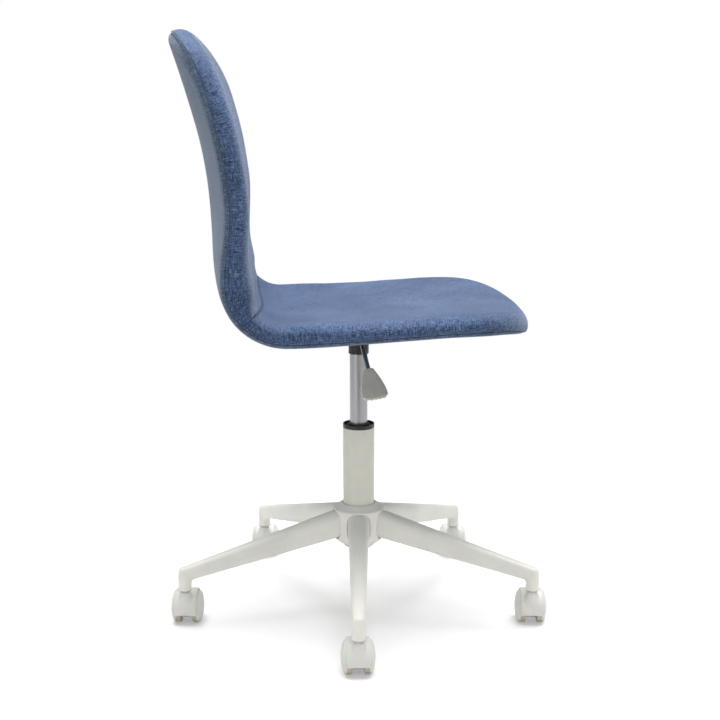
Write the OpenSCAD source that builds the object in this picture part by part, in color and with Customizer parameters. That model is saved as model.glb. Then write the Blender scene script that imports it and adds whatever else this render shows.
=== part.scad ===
// Swivel office chair: upholstered one-piece seat and back on a gas lift, with a five-leg base and casters.
// Millimetres. Origin on the swivel axis at floor level, +Z up, the sitter faces -Y. Modelled at full height.

/* [Seat and back outline] */
// Half width of the seat
seat_half_w = 207.5; // [190:0.5:225]
// Half width of the back at the waist
back_half_w = 220; // [195:0.5:235]
// Half width that the back narrows to at its top
top_half_w = 181; // [160:0.5:200]
// Length over which the front corners of the seat are rounded
front_corner_len = 116; // [90:1:140]
// Length over which the top corners of the back are rounded
top_corner_len = 134; // [100:1:150]
// Squareness of the rounded corners, 2 is an ellipse
corner_power = 2.34; // [2.1:0.02:3]

/* [Side profile] */
// Distance of the seat's front lip from the swivel axis
front_reach = 254; // [235:0.5:270]
// Height of the underside at the front lip
front_height = 459.2; // [450:0.2:470]
// Upward slope of the front lip, degrees
lip_slope = 23.6; // [15:0.1:30]
// Length of the front lip
lip_len = 66; // [50:1:80]
// Turn of the front lip, degrees
lip_turn = -23; // [-28:0.1:-15]
// Length of the swell behind the lip
swell_len = 90; // [70:1:110]
// Turn of the swell, degrees
swell_turn = -4.3; // [-6:0.1:-3]
// Length of the straight stretch over the seat plate
pad_len = 180; // [176:1:200]
// Length of the rise before the bend
rise_len = 36; // [20:1:50]
// Turn of the rise, degrees
rise_turn = 2.7; // [0:0.1:5]
// Length of the bend between seat and back
bend_len = 144; // [125:1:165]
// Turn of the bend, degrees
bend_turn = 80; // [70:0.5:86]
// Length of the lower back
low_len = 56; // [40:1:70]
// Turn of the lower back, degrees
low_turn = 10; // [4:0.5:14]
// Length of the waist
waist_len = 79; // [60:1:100]
// Turn of the waist, degrees
waist_turn = -4; // [-8:0.1:0]
// Length of the lumbar curve
lumbar_len = 108; // [90:1:130]
// Turn of the lumbar curve, degrees
lumbar_turn = -10.4; // [-14:0.1:-6]
// Length of the upper back
upper_len = 136; // [110:1:160]
// Turn of the upper back, degrees
upper_turn = -3.6; // [-8:0.1:0]

/* [Upholstery] */
// Thickness of the seat with its covers
seat_thick = 32.2; // [30:0.2:42]
// Thickness of the back with its covers
back_thick = 38.2; // [34:0.2:46]
// Radius of the padded front edge
edge_r = 25.5; // [18:0.5:28]
// Rise of the padding in the middle
crown = 1.6; // [0:0.1:6]
// How far the sides of the seat curve up
seat_dish = 9; // [4:0.5:14]
// How far the sides curve up in the bend
bend_dish = 12; // [6:0.5:20]
// How far the sides of the back curve forward
back_dish = 29; // [15:0.5:36]
// Thickness of the upholstery fabric
fabric = 1.2; // [0.8:0.1:2]
// Thickness of the plywood shell
ply = 9; // [8:0.5:12]
// Distance of the plywood's edge inside the outline
ply_inset = 15; // [14:0.5:20]
// Distance of the cross seam past the start of the bend
seam_past_bend = 46; // [20:1:80]
// Gap between upholstery layers
layer_gap = 0.3; // [0.2:0.05:0.5]

/* [Seat plate] */
// Width of the seat plate
plate_w = 170; // [150:1:190]
// Depth of the seat plate
plate_d = 172; // [150:1:175]
// Thickness of the plate's sheet steel
plate_t = 3; // [2:0.5:4]
// Depth of the plate's folded side flanges
flange_h = 8; // [5:0.5:10]
// Corner radius of the plate
plate_corner_r = 16; // [8:1:24]
// Screw spacing across the chair
screw_dx = 120; // [100:1:136]
// Screw spacing along the chair
screw_dy = 130; // [110:1:142]
// Radius of the plate screws
screw_r = 3; // [2.5:0.1:4]
// Outer radius of the taper socket
socket_r = 16; // [15.8:0.1:18]
// Height of the socket's lower rim above the floor
socket_z = 420; // [414:0.5:426]

/* [Gas lift] */
// Outer radius of the column tube
column_r = 25; // [24:0.5:26]
// Wall of the column tube
column_wall = 2; // [1.5:0.1:2.5]
// Height of the column tube's top
column_top = 300; // [290:1:310]
// Height of the column tube's lower end
column_bottom = 104; // [100:0.5:106]
// Radius at the lower end of the column's taper
taper_end_r = 23.8; // [23.4:0.1:24.4]
// Thickness of the column's bottom plate
bottom_plate_t = 3; // [2.5:0.5:4]
// Outer radius of the pressure tube
tube_r = 14; // [13.5:0.1:14.4]
// Bore radius of the pressure tube
tube_bore_r = 12; // [11:0.1:12.4]
// Height of the pressure tube's top end when raised
tube_top = 447; // [446:0.5:448]
// Radius at the top of the pressure tube's taper
tube_taper_r = 13.2; // [12.8:0.1:13.4]
// Height adjustment of the seat
stroke = 100; // [80:1:104]
// Gap left above the bump stop when the seat is fully lowered
stroke_spare = 7; // [5:1:9]
// Radius of the piston rod
rod_r = 5; // [4:0.5:6]
// Length of the piston
piston_len = 9; // [6:1:12]
// Depth of the guide bush inside the column
bush_len = 72; // [50:1:80]
// Height of the bush's rim above the column
bush_rim = 6; // [4:0.5:8]
// Height of the thrust bearing
bearing_h = 9; // [6:0.5:10]
// Outer radius of the thrust bearing
bearing_r = 12; // [10:0.5:14]
// Height of the rubber bump stop
bump_h = 8; // [6:0.5:10]
// Radius of the release pin
pin_r = 3; // [2.5:0.1:4]
// Distance that the release pin stands out of the tube
pin_out = 4.3; // [4:0.1:5]

/* [Height lever] */
// Radius of the lever rod
lever_r = 3.5; // [3:0.1:4]
// Distance from the swivel axis to the lever's pivot
pivot_x = 32; // [28:1:38]
// Distance from the swivel axis to the lever's bend
lever_bend_x = 44; // [42:1:52]
// Radius of the lever's bend
lever_bend_r = 26; // [15:1:40]
// Downward angle of the lever past its bend
lever_drop = 49; // [30:1:52]
// Lean of the lever's bend towards the front, degrees
lever_roll = 14; // [0:1:20]
// Straight length of the rod past its bend, up to its end in the paddle
lever_arm = 69; // [55:1:80]
// Turn of the lever towards the front of the chair, degrees
lever_turn = -1.5; // [-8:0.5:12]
// Radius of the lever's pivot pin
pivot_r = 2; // [1.5:0.1:2]
// Thickness of the pivot's ears
ear_t = 2; // [1.5:0.1:3]
// Length of the paddle
paddle_len = 53; // [45:1:65]
// Width of the paddle at its root
paddle_root_w = 15.5; // [14:0.5:20]
// Width of the paddle at its grip edge
paddle_tip_w = 39; // [30:0.5:44]
// Thickness of the paddle at its root
paddle_root_t = 12; // [11:0.5:14]
// Thickness of the paddle at its grip edge
paddle_tip_t = 6; // [5:0.5:8]
// Number of finger waves on the grip edge
wave_count = 5; // [3:1:7]
// Turn of the paddle on its rod, degrees
paddle_twist = -10; // [-20:1:20]

/* [Base] */
// Number of legs
leg_count = 5; // [5:1:5]
// Distance from the swivel axis to the caster stems
stem_circle_r = 286; // [270:1:300]
// Turn of the base under the seat, degrees
base_turn = 175.9; // [0:0.1:359]
// Height of a leg's centre line at the hub's mouth
leg_hub_z = 142; // [140:0.5:144]
// Width of a leg at the hub
leg_hub_w = 33; // [29:0.5:34]
// Height of a leg's section at the hub
leg_hub_h = 45; // [41:0.5:46]
// Width and height of a leg at its outer end
leg_end_size = 24; // [22:0.5:26]
// Radius of the upright tube at a leg's outer end
leg_end_r = 10.4; // [10:0.1:11]
// Top height of a leg's outer end
leg_end_top = 97; // [94:0.5:100]
// Lower end height of a leg's outer end
leg_end_bottom = 60.2; // [59.5:0.1:62]
// Wall of the leg tubes
leg_wall = 2; // [1.5:0.1:2.5]
// Radius of the hub's crown around the column
hub_crown_r = 28.5; // [27.5:0.5:30]
// Height of the hub's top
hub_top = 175.5; // [173:0.5:178]
// Radius of the hub's brim over the legs
hub_brim_r = 41; // [40.5:0.5:44]
// Height of the hub's brim
hub_brim_z = 167; // [165:0.5:168]
// Radius of the hub's waist at the legs' mouths
hub_waist_r = 40; // [38:0.5:40.5]
// Height of the hub's lower end
hub_bottom = 107.5; // [106.5:0.5:109]
// Wall of the hub around a leg
hub_lip = 3; // [2:0.5:4]

/* [Casters] */
// Radius of the caster wheels
wheel_r = 25; // [24:0.5:25.5]
// Width of a wheel's tread
tread_w = 11; // [9:0.5:12]
// Half of the gap between the wheels
half_gap = 9; // [8.5:0.5:10]
// Rise of a wheel's domed outer face
dome_h = 4.5; // [3:0.5:6]
// Distance that the axle trails behind the stem
trail = 20; // [17:0.5:21]
// Radial gap between wheel and hood
hood_gap = 1.5; // [1:0.1:2]
// Wall of the hood
hood_wall = 2.5; // [2:0.1:3]
// Half width of the hood over the treads
hood_half_w = 17; // [16:0.5:18]
// Radius of the axle
axle_r = 3; // [2.5:0.1:3.5]
// Radius of the swivel stem
stem_r = 5.5; // [5:0.1:5.6]
// Direction of travel that the casters trail in, degrees from +X
trail_dir = 0; // [-180:1:180]

/* [Fits] */
// Radial running clearance of shafts in bores
run_fit = 0.06; // [0.02:0.01:0.1]
// Clearance of parts that are seated in each other
seat_fit = 0.1; // [0.05:0.01:0.2]
// Clearance of a leg in the hub
leg_fit = 0.25; // [0.15:0.05:0.4]

/* [Hidden] */
$fn = 64;
blend_fn = 32;
leg_names = [for (i = [1:5]) str("leg_", i)];
caster_parts = ["_hood", "_stem", "_axle", "_wheel_left", "_wheel_right"];
caster_names = [for (i = [1:5]) for (p = caster_parts) str("caster_", i, p)];

// ---- Side profile: a chain of arcs along the rear face, from the front lip to the top of the back ----
seg_len = [lip_len, swell_len, pad_len, rise_len, bend_len, low_len, waist_len, lumbar_len, upper_len];
seg_turn = [lip_turn, swell_turn, 0, rise_turn, bend_turn, low_turn, waist_turn, lumbar_turn, upper_turn];
seg_count = len(seg_len);
function sum_to(v, i) = i <= 0 ? 0 : v[i - 1] + sum_to(v, i - 1);
profile_len = sum_to(seg_len, seg_count);
// Step [dy, dz] after distance d along an arc of total length len and turn a, entered at heading h
function arc_step(len, a, h, d) =
    abs(a) < 0.001 ? [d * cos(h), d * sin(h)]
    : let (r = len / a * 180 / PI, e = h + a * d / len) [r * (sin(e) - sin(h)), r * (cos(h) - cos(e))];
knot_s = [for (i = [0:seg_count]) sum_to(seg_len, i)];
knot_head = [for (i = [0:seg_count]) lip_slope + sum_to(seg_turn, i)];
function knot_at(i) =
    i == 0 ? [-front_reach, front_height]
    : knot_at(i - 1) + arc_step(seg_len[i - 1], seg_turn[i - 1], knot_head[i - 1], seg_len[i - 1]);
knots = [for (i = [0:seg_count]) knot_at(i)];
function seg_index(s, i = 0) = (i >= seg_count - 1 || s <= knot_s[i + 1]) ? i : seg_index(s, i + 1);
// [y, z, heading] at distance s along the profile
function profile_at(s) =
    let (i = seg_index(s), d = s - knot_s[i],
         p = knots[i] + arc_step(seg_len[i], seg_turn[i], knot_head[i], d))
    [p[0], p[1], knot_head[i] + seg_turn[i] * d / seg_len[i]];
bend_start = knot_s[4];
bend_end = knot_s[5];
low_end = knot_s[6];
waist_end = knot_s[7];
cross_seam = bend_start + seam_past_bend;

// ---- Plan outline and padded section, as functions of s, the distance along the profile ----
// Smooth step through a table of [s, value] rows, level at each row
function ease(s, v, i = 0) =
    i >= len(v) - 1 ? v[len(v) - 1][1]
    : s > v[i + 1][0] ? ease(s, v, i + 1)
    : let (t = max(0, s - v[i][0]) / (v[i + 1][0] - v[i][0]))
      v[i][1] + (v[i + 1][1] - v[i][1]) * t * t * (3 - 2 * t);
function half_width(s) =
    ease(s, [[0, seat_half_w], [bend_start, seat_half_w], [low_end, back_half_w],
               [waist_end, back_half_w], [profile_len, top_half_w]]);
function thickness(s) =
    ease(s, [[bend_start, seat_thick], [low_end, back_thick]]);
function dish(s) =
    ease(s, [[0, seat_dish], [bend_start - pad_len / 2, seat_dish],
               [(bend_start + bend_end) / 2, bend_dish], [bend_end, bend_dish],
               [waist_end, back_dish], [profile_len, back_dish]]);
// How far s lies into a rounded end, 0 at the straight sides and 1 at the very end
function end_share(s, inset) =
    s < front_corner_len ? 1 - (s - inset) / (front_corner_len - inset)
    : s > profile_len - top_corner_len ? 1 - (profile_len - inset - s) / (top_corner_len - inset)
    : 0;
function end_len(s, inset) = (s < profile_len / 2 ? front_corner_len : top_corner_len) - inset;
// Half width at s of the outline moved in by inset
function outline_w(s, inset) =
    (half_width(s) - inset) * pow(1 - pow(max(0, end_share(s, inset)), corner_power), 1 / corner_power);
// Distance from the outline, to first order, of the point at s and x
function edge_distance(s, x, inset) =
    let (w = half_width(s) - inset, a = abs(x) / w, e = max(0, end_share(s, inset)),
         f = 1 - pow(a, corner_power) - pow(e, corner_power),
         gx = corner_power / w * pow(a, corner_power - 1),
         gs = e > 0 ? corner_power / end_len(s, inset) * pow(e, corner_power - 1) : 0)
    max(0, f) / max(0.0001, norm([gx, gs]));
// Rear face of the shell at s and x
function base_n(s, x) = dish(s) * pow(x / half_width(s), 2);
// Padded front face at s and x, moved in by inset: a rounded edge that runs up to a low crown
function top_n(s, x, inset) =
    let (r = edge_r - inset, q = max(0, r - edge_distance(s, x, inset)), w = half_width(s))
    base_n(s, x) + thickness(s) - inset - r + sqrt(max(0, r * r - q * q))
    + crown * (1 - pow(x / w, 2)) * min(1, edge_distance(s, x, inset) / 60);
function place(s, x, n) =
    let (p = profile_at(s)) [x, p[0] - sin(p[2]) * n, p[1] + cos(p[2]) * n];

// ---- Grids ----
edge_steps = [0.6, 2.5, 6, 12, 20, 32];
inner_rows = 34;
half_cols = 7;
// Columns from -1 to 1, closer together towards the edges
cols = [for (j = [-half_cols:half_cols]) sign(j) * (1 - pow(1 - abs(j) / half_cols, 2.2))];
// Closed solid between an upper and a lower sheet of points, both rows of the same length
module two_sheet(upper, lower) {
    rows = len(upper);
    n = len(upper[0]);
    off = rows * n;
    function id(i, j) = i * n + j;
    sheet = [for (i = [0:rows - 2]) for (j = [0:n - 2]) each [
        [id(i, j), id(i + 1, j), id(i + 1, j + 1)], [id(i, j), id(i + 1, j + 1), id(i, j + 1)],
        [off + id(i, j), off + id(i + 1, j + 1), off + id(i + 1, j)],
        [off + id(i, j), off + id(i, j + 1), off + id(i + 1, j + 1)]]];
    sides = [for (i = [0:rows - 2]) each [
        [id(i, 0), off + id(i, 0), off + id(i + 1, 0)], [id(i, 0), off + id(i + 1, 0), id(i + 1, 0)],
        [id(i, n - 1), off + id(i + 1, n - 1), off + id(i, n - 1)],
        [id(i, n - 1), id(i + 1, n - 1), off + id(i + 1, n - 1)]]];
    ends = [for (j = [0:n - 2]) each [
        [id(0, j), off + id(0, j + 1), off + id(0, j)], [id(0, j), id(0, j + 1), off + id(0, j + 1)],
        [id(rows - 1, j), off + id(rows - 1, j), off + id(rows - 1, j + 1)],
        [id(rows - 1, j), off + id(rows - 1, j + 1), id(rows - 1, j + 1)]]];
    polyhedron(points = concat([for (r = upper) each r], [for (r = lower) each r]),
               faces = concat(sheet, sides, ends), convexity = 6);
}

// ---- Upholstered seat and back ----
skin_inset = fabric + layer_gap;
inner_start = edge_steps[5] + 24;
ramp_start = 1;
ramp_len = 4;
bottom_row_share = 0.97;
foam_gap = 2 * layer_gap;
nut_gap = 2 * seat_fit;
seam_half = layer_gap / 2;
nut_flange_r = 9;
nut_flange_t = 1.5;
nut_barrel_r = 4.2;
screw_head_r = 5.5;
screw_head_h = 3;
screw_len = plate_t + fabric + ply + 3;
// Height of the seat's underside over the swivel axis, and its slope there
pad_s = knot_s[2] - knots[2][0] / cos(knot_head[2]);
pad_z = profile_at(pad_s)[1];
pad_slope = knot_head[2];

function inner_stations() =
    [for (i = [0:inner_rows]) inner_start + (profile_len - 2 * inner_start) * i / inner_rows];
function front_stations(inset) = [for (e = edge_steps) inset + e];
function top_stations(inset) = [for (k = [5:-1:0]) profile_len - inset - edge_steps[k]];
// Rows on the seat's side of the cross seam, and on the back's side
seat_rows = [for (s = inner_stations()) if (s < cross_seam - 2) s];
back_rows = [for (s = inner_stations()) if (s > cross_seam + 2) s];
function seat_stations(inset) = concat(front_stations(inset), seat_rows, [cross_seam - seam_half]);
function back_stations(inset) = concat([cross_seam + seam_half], back_rows, top_stations(inset));
function all_stations(inset) =
    concat(front_stations(inset), seat_rows, [cross_seam], back_rows, top_stations(inset));
// One row across the outline moved in by inset, at height n above the rear face
function flat_row(s, inset, n) =
    let (w = outline_w(s, inset)) [for (c = cols) place(s, c * w, base_n(s, c * w) + n)];
// One row of a cover: up one side, over the padding and down the other side
function lid_row(s, inset) =
    let (w = outline_w(s, inset), low = base_n(s, w) + skin_inset)
    concat([place(s, -w, low)], [for (c = cols) place(s, c * w, top_n(s, c * w, inset))], [place(s, w, low)]);
// The row that closes a cover's rounded end along its seam
function lid_foot(s, inset) =
    let (w = outline_w(s, inset), v = bottom_row_share * w)
    concat([place(s, -w, base_n(s, w) + skin_inset)],
           [for (c = cols) place(s, c * v, base_n(s, c * v) + skin_inset)],
           [place(s, w, base_n(s, w) + skin_inset)]);
function seat_lid(inset) =
    let (v = seat_stations(inset)) concat([lid_foot(v[0], inset)], [for (s = v) lid_row(s, inset)]);
function back_lid(inset) =
    let (v = back_stations(inset))
    concat([for (s = v) lid_row(s, inset)], [lid_foot(v[len(v) - 1], inset)]);
// Share of the plywood's thickness that the foam gives way to, from none at its edge to all of it
function ply_share(d) = min(1, max(0, (d - ramp_start) / ramp_len));

module at_pad() {
    translate([0, 0, pad_z]) rotate([pad_slope, 0, 0]) children();
}
module at_screws() {
    at_pad() for (x = [-1, 1]) for (y = [-1, 1])
        translate([x * screw_dx / 2, y * screw_dy / 2, 0]) children();
}
nut_low = skin_inset + base_n(pad_s, screw_dx / 2 + nut_flange_r);
nut_top = nut_low + ply + nut_gap;

module cover_outer() color([0.34, 0.42, 0.56]) difference() {
    two_sheet([for (s = all_stations(0)) flat_row(s, 0, fabric)],
              [for (s = all_stations(0)) flat_row(s, 0, 0)]);
    at_screws() translate([0, 0, -fabric]) cylinder(r = screw_r + leg_fit, h = 4 * fabric);
}
module shell() color([0.80, 0.66, 0.47]) difference() {
    two_sheet([for (s = all_stations(ply_inset)) flat_row(s, ply_inset, skin_inset + ply)],
              [for (s = all_stations(ply_inset)) flat_row(s, ply_inset, skin_inset)]);
    at_screws() cylinder(r = nut_barrel_r + seat_fit, h = 2 * ply);
}
module foam() color([0.93, 0.90, 0.80]) difference() {
    two_sheet(
        [for (s = all_stations(skin_inset)) let (w = outline_w(s, skin_inset))
            [for (c = cols) place(s, c * w, top_n(s, c * w, skin_inset))]],
        [for (s = all_stations(skin_inset)) let (w = outline_w(s, skin_inset))
            [for (c = cols) place(s, c * w, base_n(s, c * w) + skin_inset
                + (ply + foam_gap) * ply_share(edge_distance(s, c * w, skin_inset)))]]);
    at_screws() translate([0, 0, skin_inset])
        cylinder(r = nut_flange_r + layer_gap, h = nut_top + nut_flange_t);
}
module cover_seat() color([0.30, 0.38, 0.55]) two_sheet(seat_lid(0), seat_lid(fabric));
module cover_back() color([0.29, 0.37, 0.54]) two_sheet(back_lid(0), back_lid(fabric));

// ---- Seat plate and its fasteners ----
plate_low = -seat_fit - plate_t;
lever_play = 4 * seat_fit;
lever_z = tube_top + pin_out + lever_play + lever_r;
chamber_r = 10;
lever_side_gap = 0.6;
ear_r = pivot_r + 2.4;
ear_gap = lever_r + 2 * seat_fit;
ear_top = pad_z + plate_low + plate_t / 2 - lever_z;
slot_half = lever_r + lever_side_gap;

// Frame of the lever: +X points out along it, the origin is over the release pin
module at_lever() {
    translate([0, 0, lever_z]) rotate([0, 0, 180 + lever_turn]) children();
}
module rounded_plate(w, d, r) {
    square([w - 2 * r, d], center = true);
    square([w, d - 2 * r], center = true);
    for (x = [-1, 1]) for (y = [-1, 1]) translate([x * (w / 2 - r), y * (d / 2 - r)]) circle(r);
}
module mounting_plate() color([0.08, 0.08, 0.08]) difference() {
    union() {
        at_pad() translate([0, 0, plate_low]) linear_extrude(plate_t)
            rounded_plate(plate_w, plate_d, plate_corner_r);
        at_pad() for (x = [-1, 1])
            translate([x * (plate_w - plate_t) / 2 - plate_t / 2, plate_corner_r - plate_d / 2,
                       plate_low - flange_h])
                cube([plate_t, plate_d - 2 * plate_corner_r, flange_h + plate_t / 2]);
        translate([0, 0, socket_z]) cylinder(r = socket_r, h = pad_z + plate_low + plate_t / 2 - socket_z);
        at_lever() for (y = [-ear_gap - ear_t, ear_gap]) translate([pivot_x, y + ear_t, 0]) rotate([90, 0, 0])
            linear_extrude(ear_t) {
                circle(ear_r);
                translate([-ear_r, 0]) square([2 * ear_r, ear_top]);
            }
    }
    translate([0, 0, socket_z])
        cylinder(r1 = tube_r + seat_fit, r2 = tube_taper_r + seat_fit, h = tube_top - socket_z);
    translate([0, 0, tube_top - 0.01]) cylinder(r = chamber_r, h = lever_z + slot_half - tube_top);
    at_lever() translate([0, -slot_half, -slot_half - pin_out])
        cube([socket_r + 2, 2 * slot_half, 2 * slot_half + pin_out]);
    at_lever() translate([pivot_x, 0, 0]) rotate([90, 0, 0])
        cylinder(r = pivot_r, h = 2 * (ear_gap + ear_t) + 2, center = true);
    at_screws() translate([0, 0, plate_low - 1]) cylinder(r = screw_r + leg_fit, h = plate_t + 2);
}
module plate_screws() color([0.75, 0.75, 0.76]) at_screws() translate([0, 0, plate_low]) difference() {
    union() {
        cylinder(r = screw_r, h = screw_len);
        translate([0, 0, -screw_head_h])
            cylinder(r1 = screw_head_r - 1.2, r2 = screw_head_r, h = screw_head_h);
    }
    translate([0, 0, -screw_head_h - 1]) cylinder(r = screw_r * 0.75, h = screw_head_h, $fn = 6);
}
module tee_nuts() color([0.78, 0.76, 0.66]) at_screws() difference() {
    union() {
        translate([0, 0, skin_inset + 1])
            cylinder(r = nut_barrel_r, h = nut_top - skin_inset - 1 + nut_flange_t);
        translate([0, 0, nut_top]) cylinder(r = nut_flange_r, h = nut_flange_t);
    }
    cylinder(r = screw_r, h = nut_top + nut_flange_t + 1);
}

// ---- Height lever ----
arm_x = lever_bend_x + lever_bend_r * sin(lever_drop);
arm_z = lever_bend_r * (cos(lever_drop) - 1);
rod_tail = pin_r + 4;
weld = 0.4;
bend_thinning = 0.05;
paddle_socket = 22;
paddle_wave_r = 2.2;

// Share of its tip's width that the paddle has at share t of its length
function paddle_share(t) = sin(90 * min(1, t / 0.85));

module at_bend() {
    at_lever() rotate([lever_roll, 0, 0]) children();
}
module at_arm(d) {
    at_bend() translate([arm_x, 0, arm_z]) rotate([0, 90 + lever_drop, 0]) translate([0, 0, d]) children();
}
module lever_pin() color([0.75, 0.75, 0.76]) at_lever() translate([pivot_x, 0, 0]) rotate([90, 0, 0])
    cylinder(r = pivot_r, h = 2 * (ear_gap + ear_t) + 1, center = true);
module lever_rod() color([0.60, 0.60, 0.61]) {
    at_lever() difference() {
        translate([-rod_tail, 0, 0]) rotate([0, 90, 0])
            cylinder(r = lever_r, h = rod_tail + lever_bend_x + weld);
        translate([pivot_x, 0, 0]) rotate([90, 0, 0])
            cylinder(r = pivot_r + run_fit, h = 3 * lever_r, center = true);
    }
    at_bend() translate([lever_bend_x, 0, -lever_bend_r]) rotate([90, 0, 0]) rotate([0, 0, 90 - lever_drop])
        rotate_extrude(angle = lever_drop) translate([lever_bend_r, 0]) circle(lever_r - bend_thinning);
    at_arm(-weld) cylinder(r = lever_r, h = lever_arm + weld);
}
// Slice of the paddle: a flat oval of width w and thickness t
module paddle_slice(w, t) {
    linear_extrude(1) offset(r = t / 2 - 0.5) square([1, w - t + 1], center = true);
}
module lever_paddle() color([0.80, 0.81, 0.77]) at_arm(lever_arm - paddle_socket)
    rotate([0, 0, paddle_twist]) difference() {
        hull() {
            for (t = [0, 0.3, 0.6, 0.85])
                translate([0, 0, paddle_len * t])
                    paddle_slice(paddle_root_w + (paddle_tip_w - paddle_root_w) * paddle_share(t),
                                 paddle_root_t + (paddle_tip_t - paddle_root_t) * t);
            translate([0, 0, paddle_len - 1]) paddle_slice(paddle_tip_w - 3, paddle_tip_t);
        }
        translate([0, 0, -1]) cylinder(r = lever_r + seat_fit, h = paddle_socket + 1.2);
        for (k = [1:wave_count - 1])
            translate([0, (k / wave_count - 0.5) * (paddle_tip_w - 3), paddle_len + paddle_wave_r * 0.35])
                rotate([0, 90, 0]) cylinder(r = paddle_wave_r, h = paddle_root_t, center = true);
    }

// ---- Gas lift ----
floor_z = column_bottom + bottom_plate_t;
bearing_z = floor_z + bottom_plate_t;
taper_top = hub_top - 4;
groove_depth = 0.8;
clip_t = 1.2;
clip_z = floor_z - clip_t - 0.4;
shoulder_t = 2;
shoulder_r = 9;
shoulder_z = bearing_z + bearing_h;
rod_low = clip_z - 0.8;
neck_r = rod_r - 1;
rod_head_t = 3;
guide_len = 12;
tube_bottom = shoulder_z + shoulder_t + bump_h + stroke + stroke_spare;
piston_z = tube_bottom + guide_len + 8;
valve_low = socket_z - 14;
bush_recess_r = tube_r + 3;
bush_recess = 3;

module column_tube() color([0.77, 0.77, 0.73]) {
    rotate_extrude() polygon([
        [taper_end_r - column_wall, column_bottom], [taper_end_r, column_bottom], [column_r, taper_top],
        [column_r, column_top], [column_r - column_wall, column_top], [column_r - column_wall, taper_top]]);
    translate([0, 0, floor_z]) difference() {
        cylinder(r = taper_end_r - column_wall / 2, h = bottom_plate_t);
        translate([0, 0, -1]) cylinder(r = rod_r + 0.5, h = bottom_plate_t + 2);
    }
}
module guide_bush() color([0.07, 0.07, 0.06]) difference() {
    union() {
        translate([0, 0, column_top - bush_len])
            cylinder(r = column_r - column_wall - seat_fit, h = bush_len);
        translate([0, 0, column_top]) cylinder(r = column_r - seat_fit, h = bush_rim);
    }
    translate([0, 0, column_top - bush_len - 1]) cylinder(r = tube_r + run_fit, h = bush_len + bush_rim + 2);
    translate([0, 0, column_top + bush_rim - bush_recess]) difference() {
        cylinder(r = column_r - column_wall, h = bush_recess + 1);
        translate([0, 0, -1]) cylinder(r = bush_recess_r, h = bush_recess + 3);
    }
}
module thrust_bearing() color([0.70, 0.71, 0.73]) translate([0, 0, bearing_z]) difference() {
    union() {
        cylinder(r = bearing_r, h = bearing_h / 3);
        translate([0, 0, bearing_h / 3]) cylinder(r = bearing_r - 1.5, h = bearing_h / 3);
        translate([0, 0, bearing_h * 2 / 3]) cylinder(r = bearing_r, h = bearing_h / 3);
    }
    translate([0, 0, -1]) cylinder(r = rod_r + run_fit, h = bearing_h + 2);
}
module retaining_clip() color([0.55, 0.55, 0.56]) translate([0, 0, clip_z]) difference() {
    cylinder(r = rod_r + 3, h = clip_t);
    translate([0, 0, -1]) cylinder(r = rod_r - groove_depth + seat_fit, h = clip_t + 2);
    translate([0, -1.5, -1]) cube([rod_r + 4, 3, clip_t + 2]);
}
module bump_stop() color([0.12, 0.12, 0.12]) translate([0, 0, shoulder_z + shoulder_t]) difference() {
    cylinder(r = shoulder_r, h = bump_h);
    translate([0, 0, -1]) cylinder(r = rod_r + seat_fit, h = bump_h + 2);
}
module piston_rod() color([0.78, 0.79, 0.80]) {
    difference() {
        translate([0, 0, rod_low]) cylinder(r = rod_r, h = piston_z - rod_low);
        translate([0, 0, clip_z - seat_fit]) difference() {
            cylinder(r = rod_r + 1, h = clip_t + 2 * seat_fit);
            translate([0, 0, -1]) cylinder(r = rod_r - groove_depth, h = clip_t + 3);
        }
    }
    translate([0, 0, shoulder_z]) cylinder(r = shoulder_r - 1, h = shoulder_t);
    translate([0, 0, piston_z - 1]) cylinder(r = neck_r, h = piston_len + 2);
    translate([0, 0, piston_z + piston_len]) cylinder(r = rod_r + 1, h = rod_head_t);
}
module piston() color([0.15, 0.15, 0.15]) translate([0, 0, piston_z]) difference() {
    cylinder(r = tube_bore_r - run_fit, h = piston_len);
    translate([0, 0, -1]) cylinder(r = neck_r + seat_fit, h = piston_len + 2);
    translate([0, 0, piston_len / 2 - 1]) difference() {
        cylinder(r = tube_bore_r + 1, h = 2);
        translate([0, 0, -1]) cylinder(r = tube_bore_r - 1.2, h = 4);
    }
}
module pressure_tube() color([0.62, 0.62, 0.63]) difference() {
    union() {
        translate([0, 0, tube_bottom]) cylinder(r = tube_r, h = socket_z - tube_bottom);
        translate([0, 0, socket_z]) cylinder(r1 = tube_r, r2 = tube_taper_r, h = tube_top - socket_z);
    }
    translate([0, 0, tube_bottom + guide_len])
        cylinder(r = tube_bore_r, h = valve_low - tube_bottom - guide_len);
    translate([0, 0, tube_bottom - 1]) cylinder(r = rod_r + run_fit, h = guide_len + 2);
    translate([0, 0, valve_low - 1]) cylinder(r = pin_r + run_fit, h = tube_top - valve_low + 2);
}
module valve_pin() color([0.80, 0.80, 0.81]) translate([0, 0, valve_low + 6])
    cylinder(r = pin_r, h = tube_top + pin_out - valve_low - 6);

// ---- Base: hub and legs ----
leg_step = 360 / leg_count;
leg_root_r = hub_crown_r;
leg_fall = (leg_hub_z - (leg_end_top - leg_end_size / 2)) / (stem_circle_r - hub_waist_r);
leg_root_z = leg_hub_z + leg_fall * (hub_waist_r - leg_root_r);
leg_corner_r = 12;
end_round = 6;
mouth_step = 0.5;
end_low = leg_end_top - leg_end_size;
grub_r = 2.5;
hex_share = 0.6;
grub_x = hub_waist_r - grub_r - 4;
grub_low = hub_bottom + 8;
grub_len = 13;
hub_core_r = hub_waist_r - 3;
hub_floor_r = taper_end_r + 1;
hub_foot_h = 9;
brim_low = hub_brim_z - 12;

module at_leg(i) {
    rotate([0, 0, base_turn + (i - 1) * leg_step]) children();
}
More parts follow.
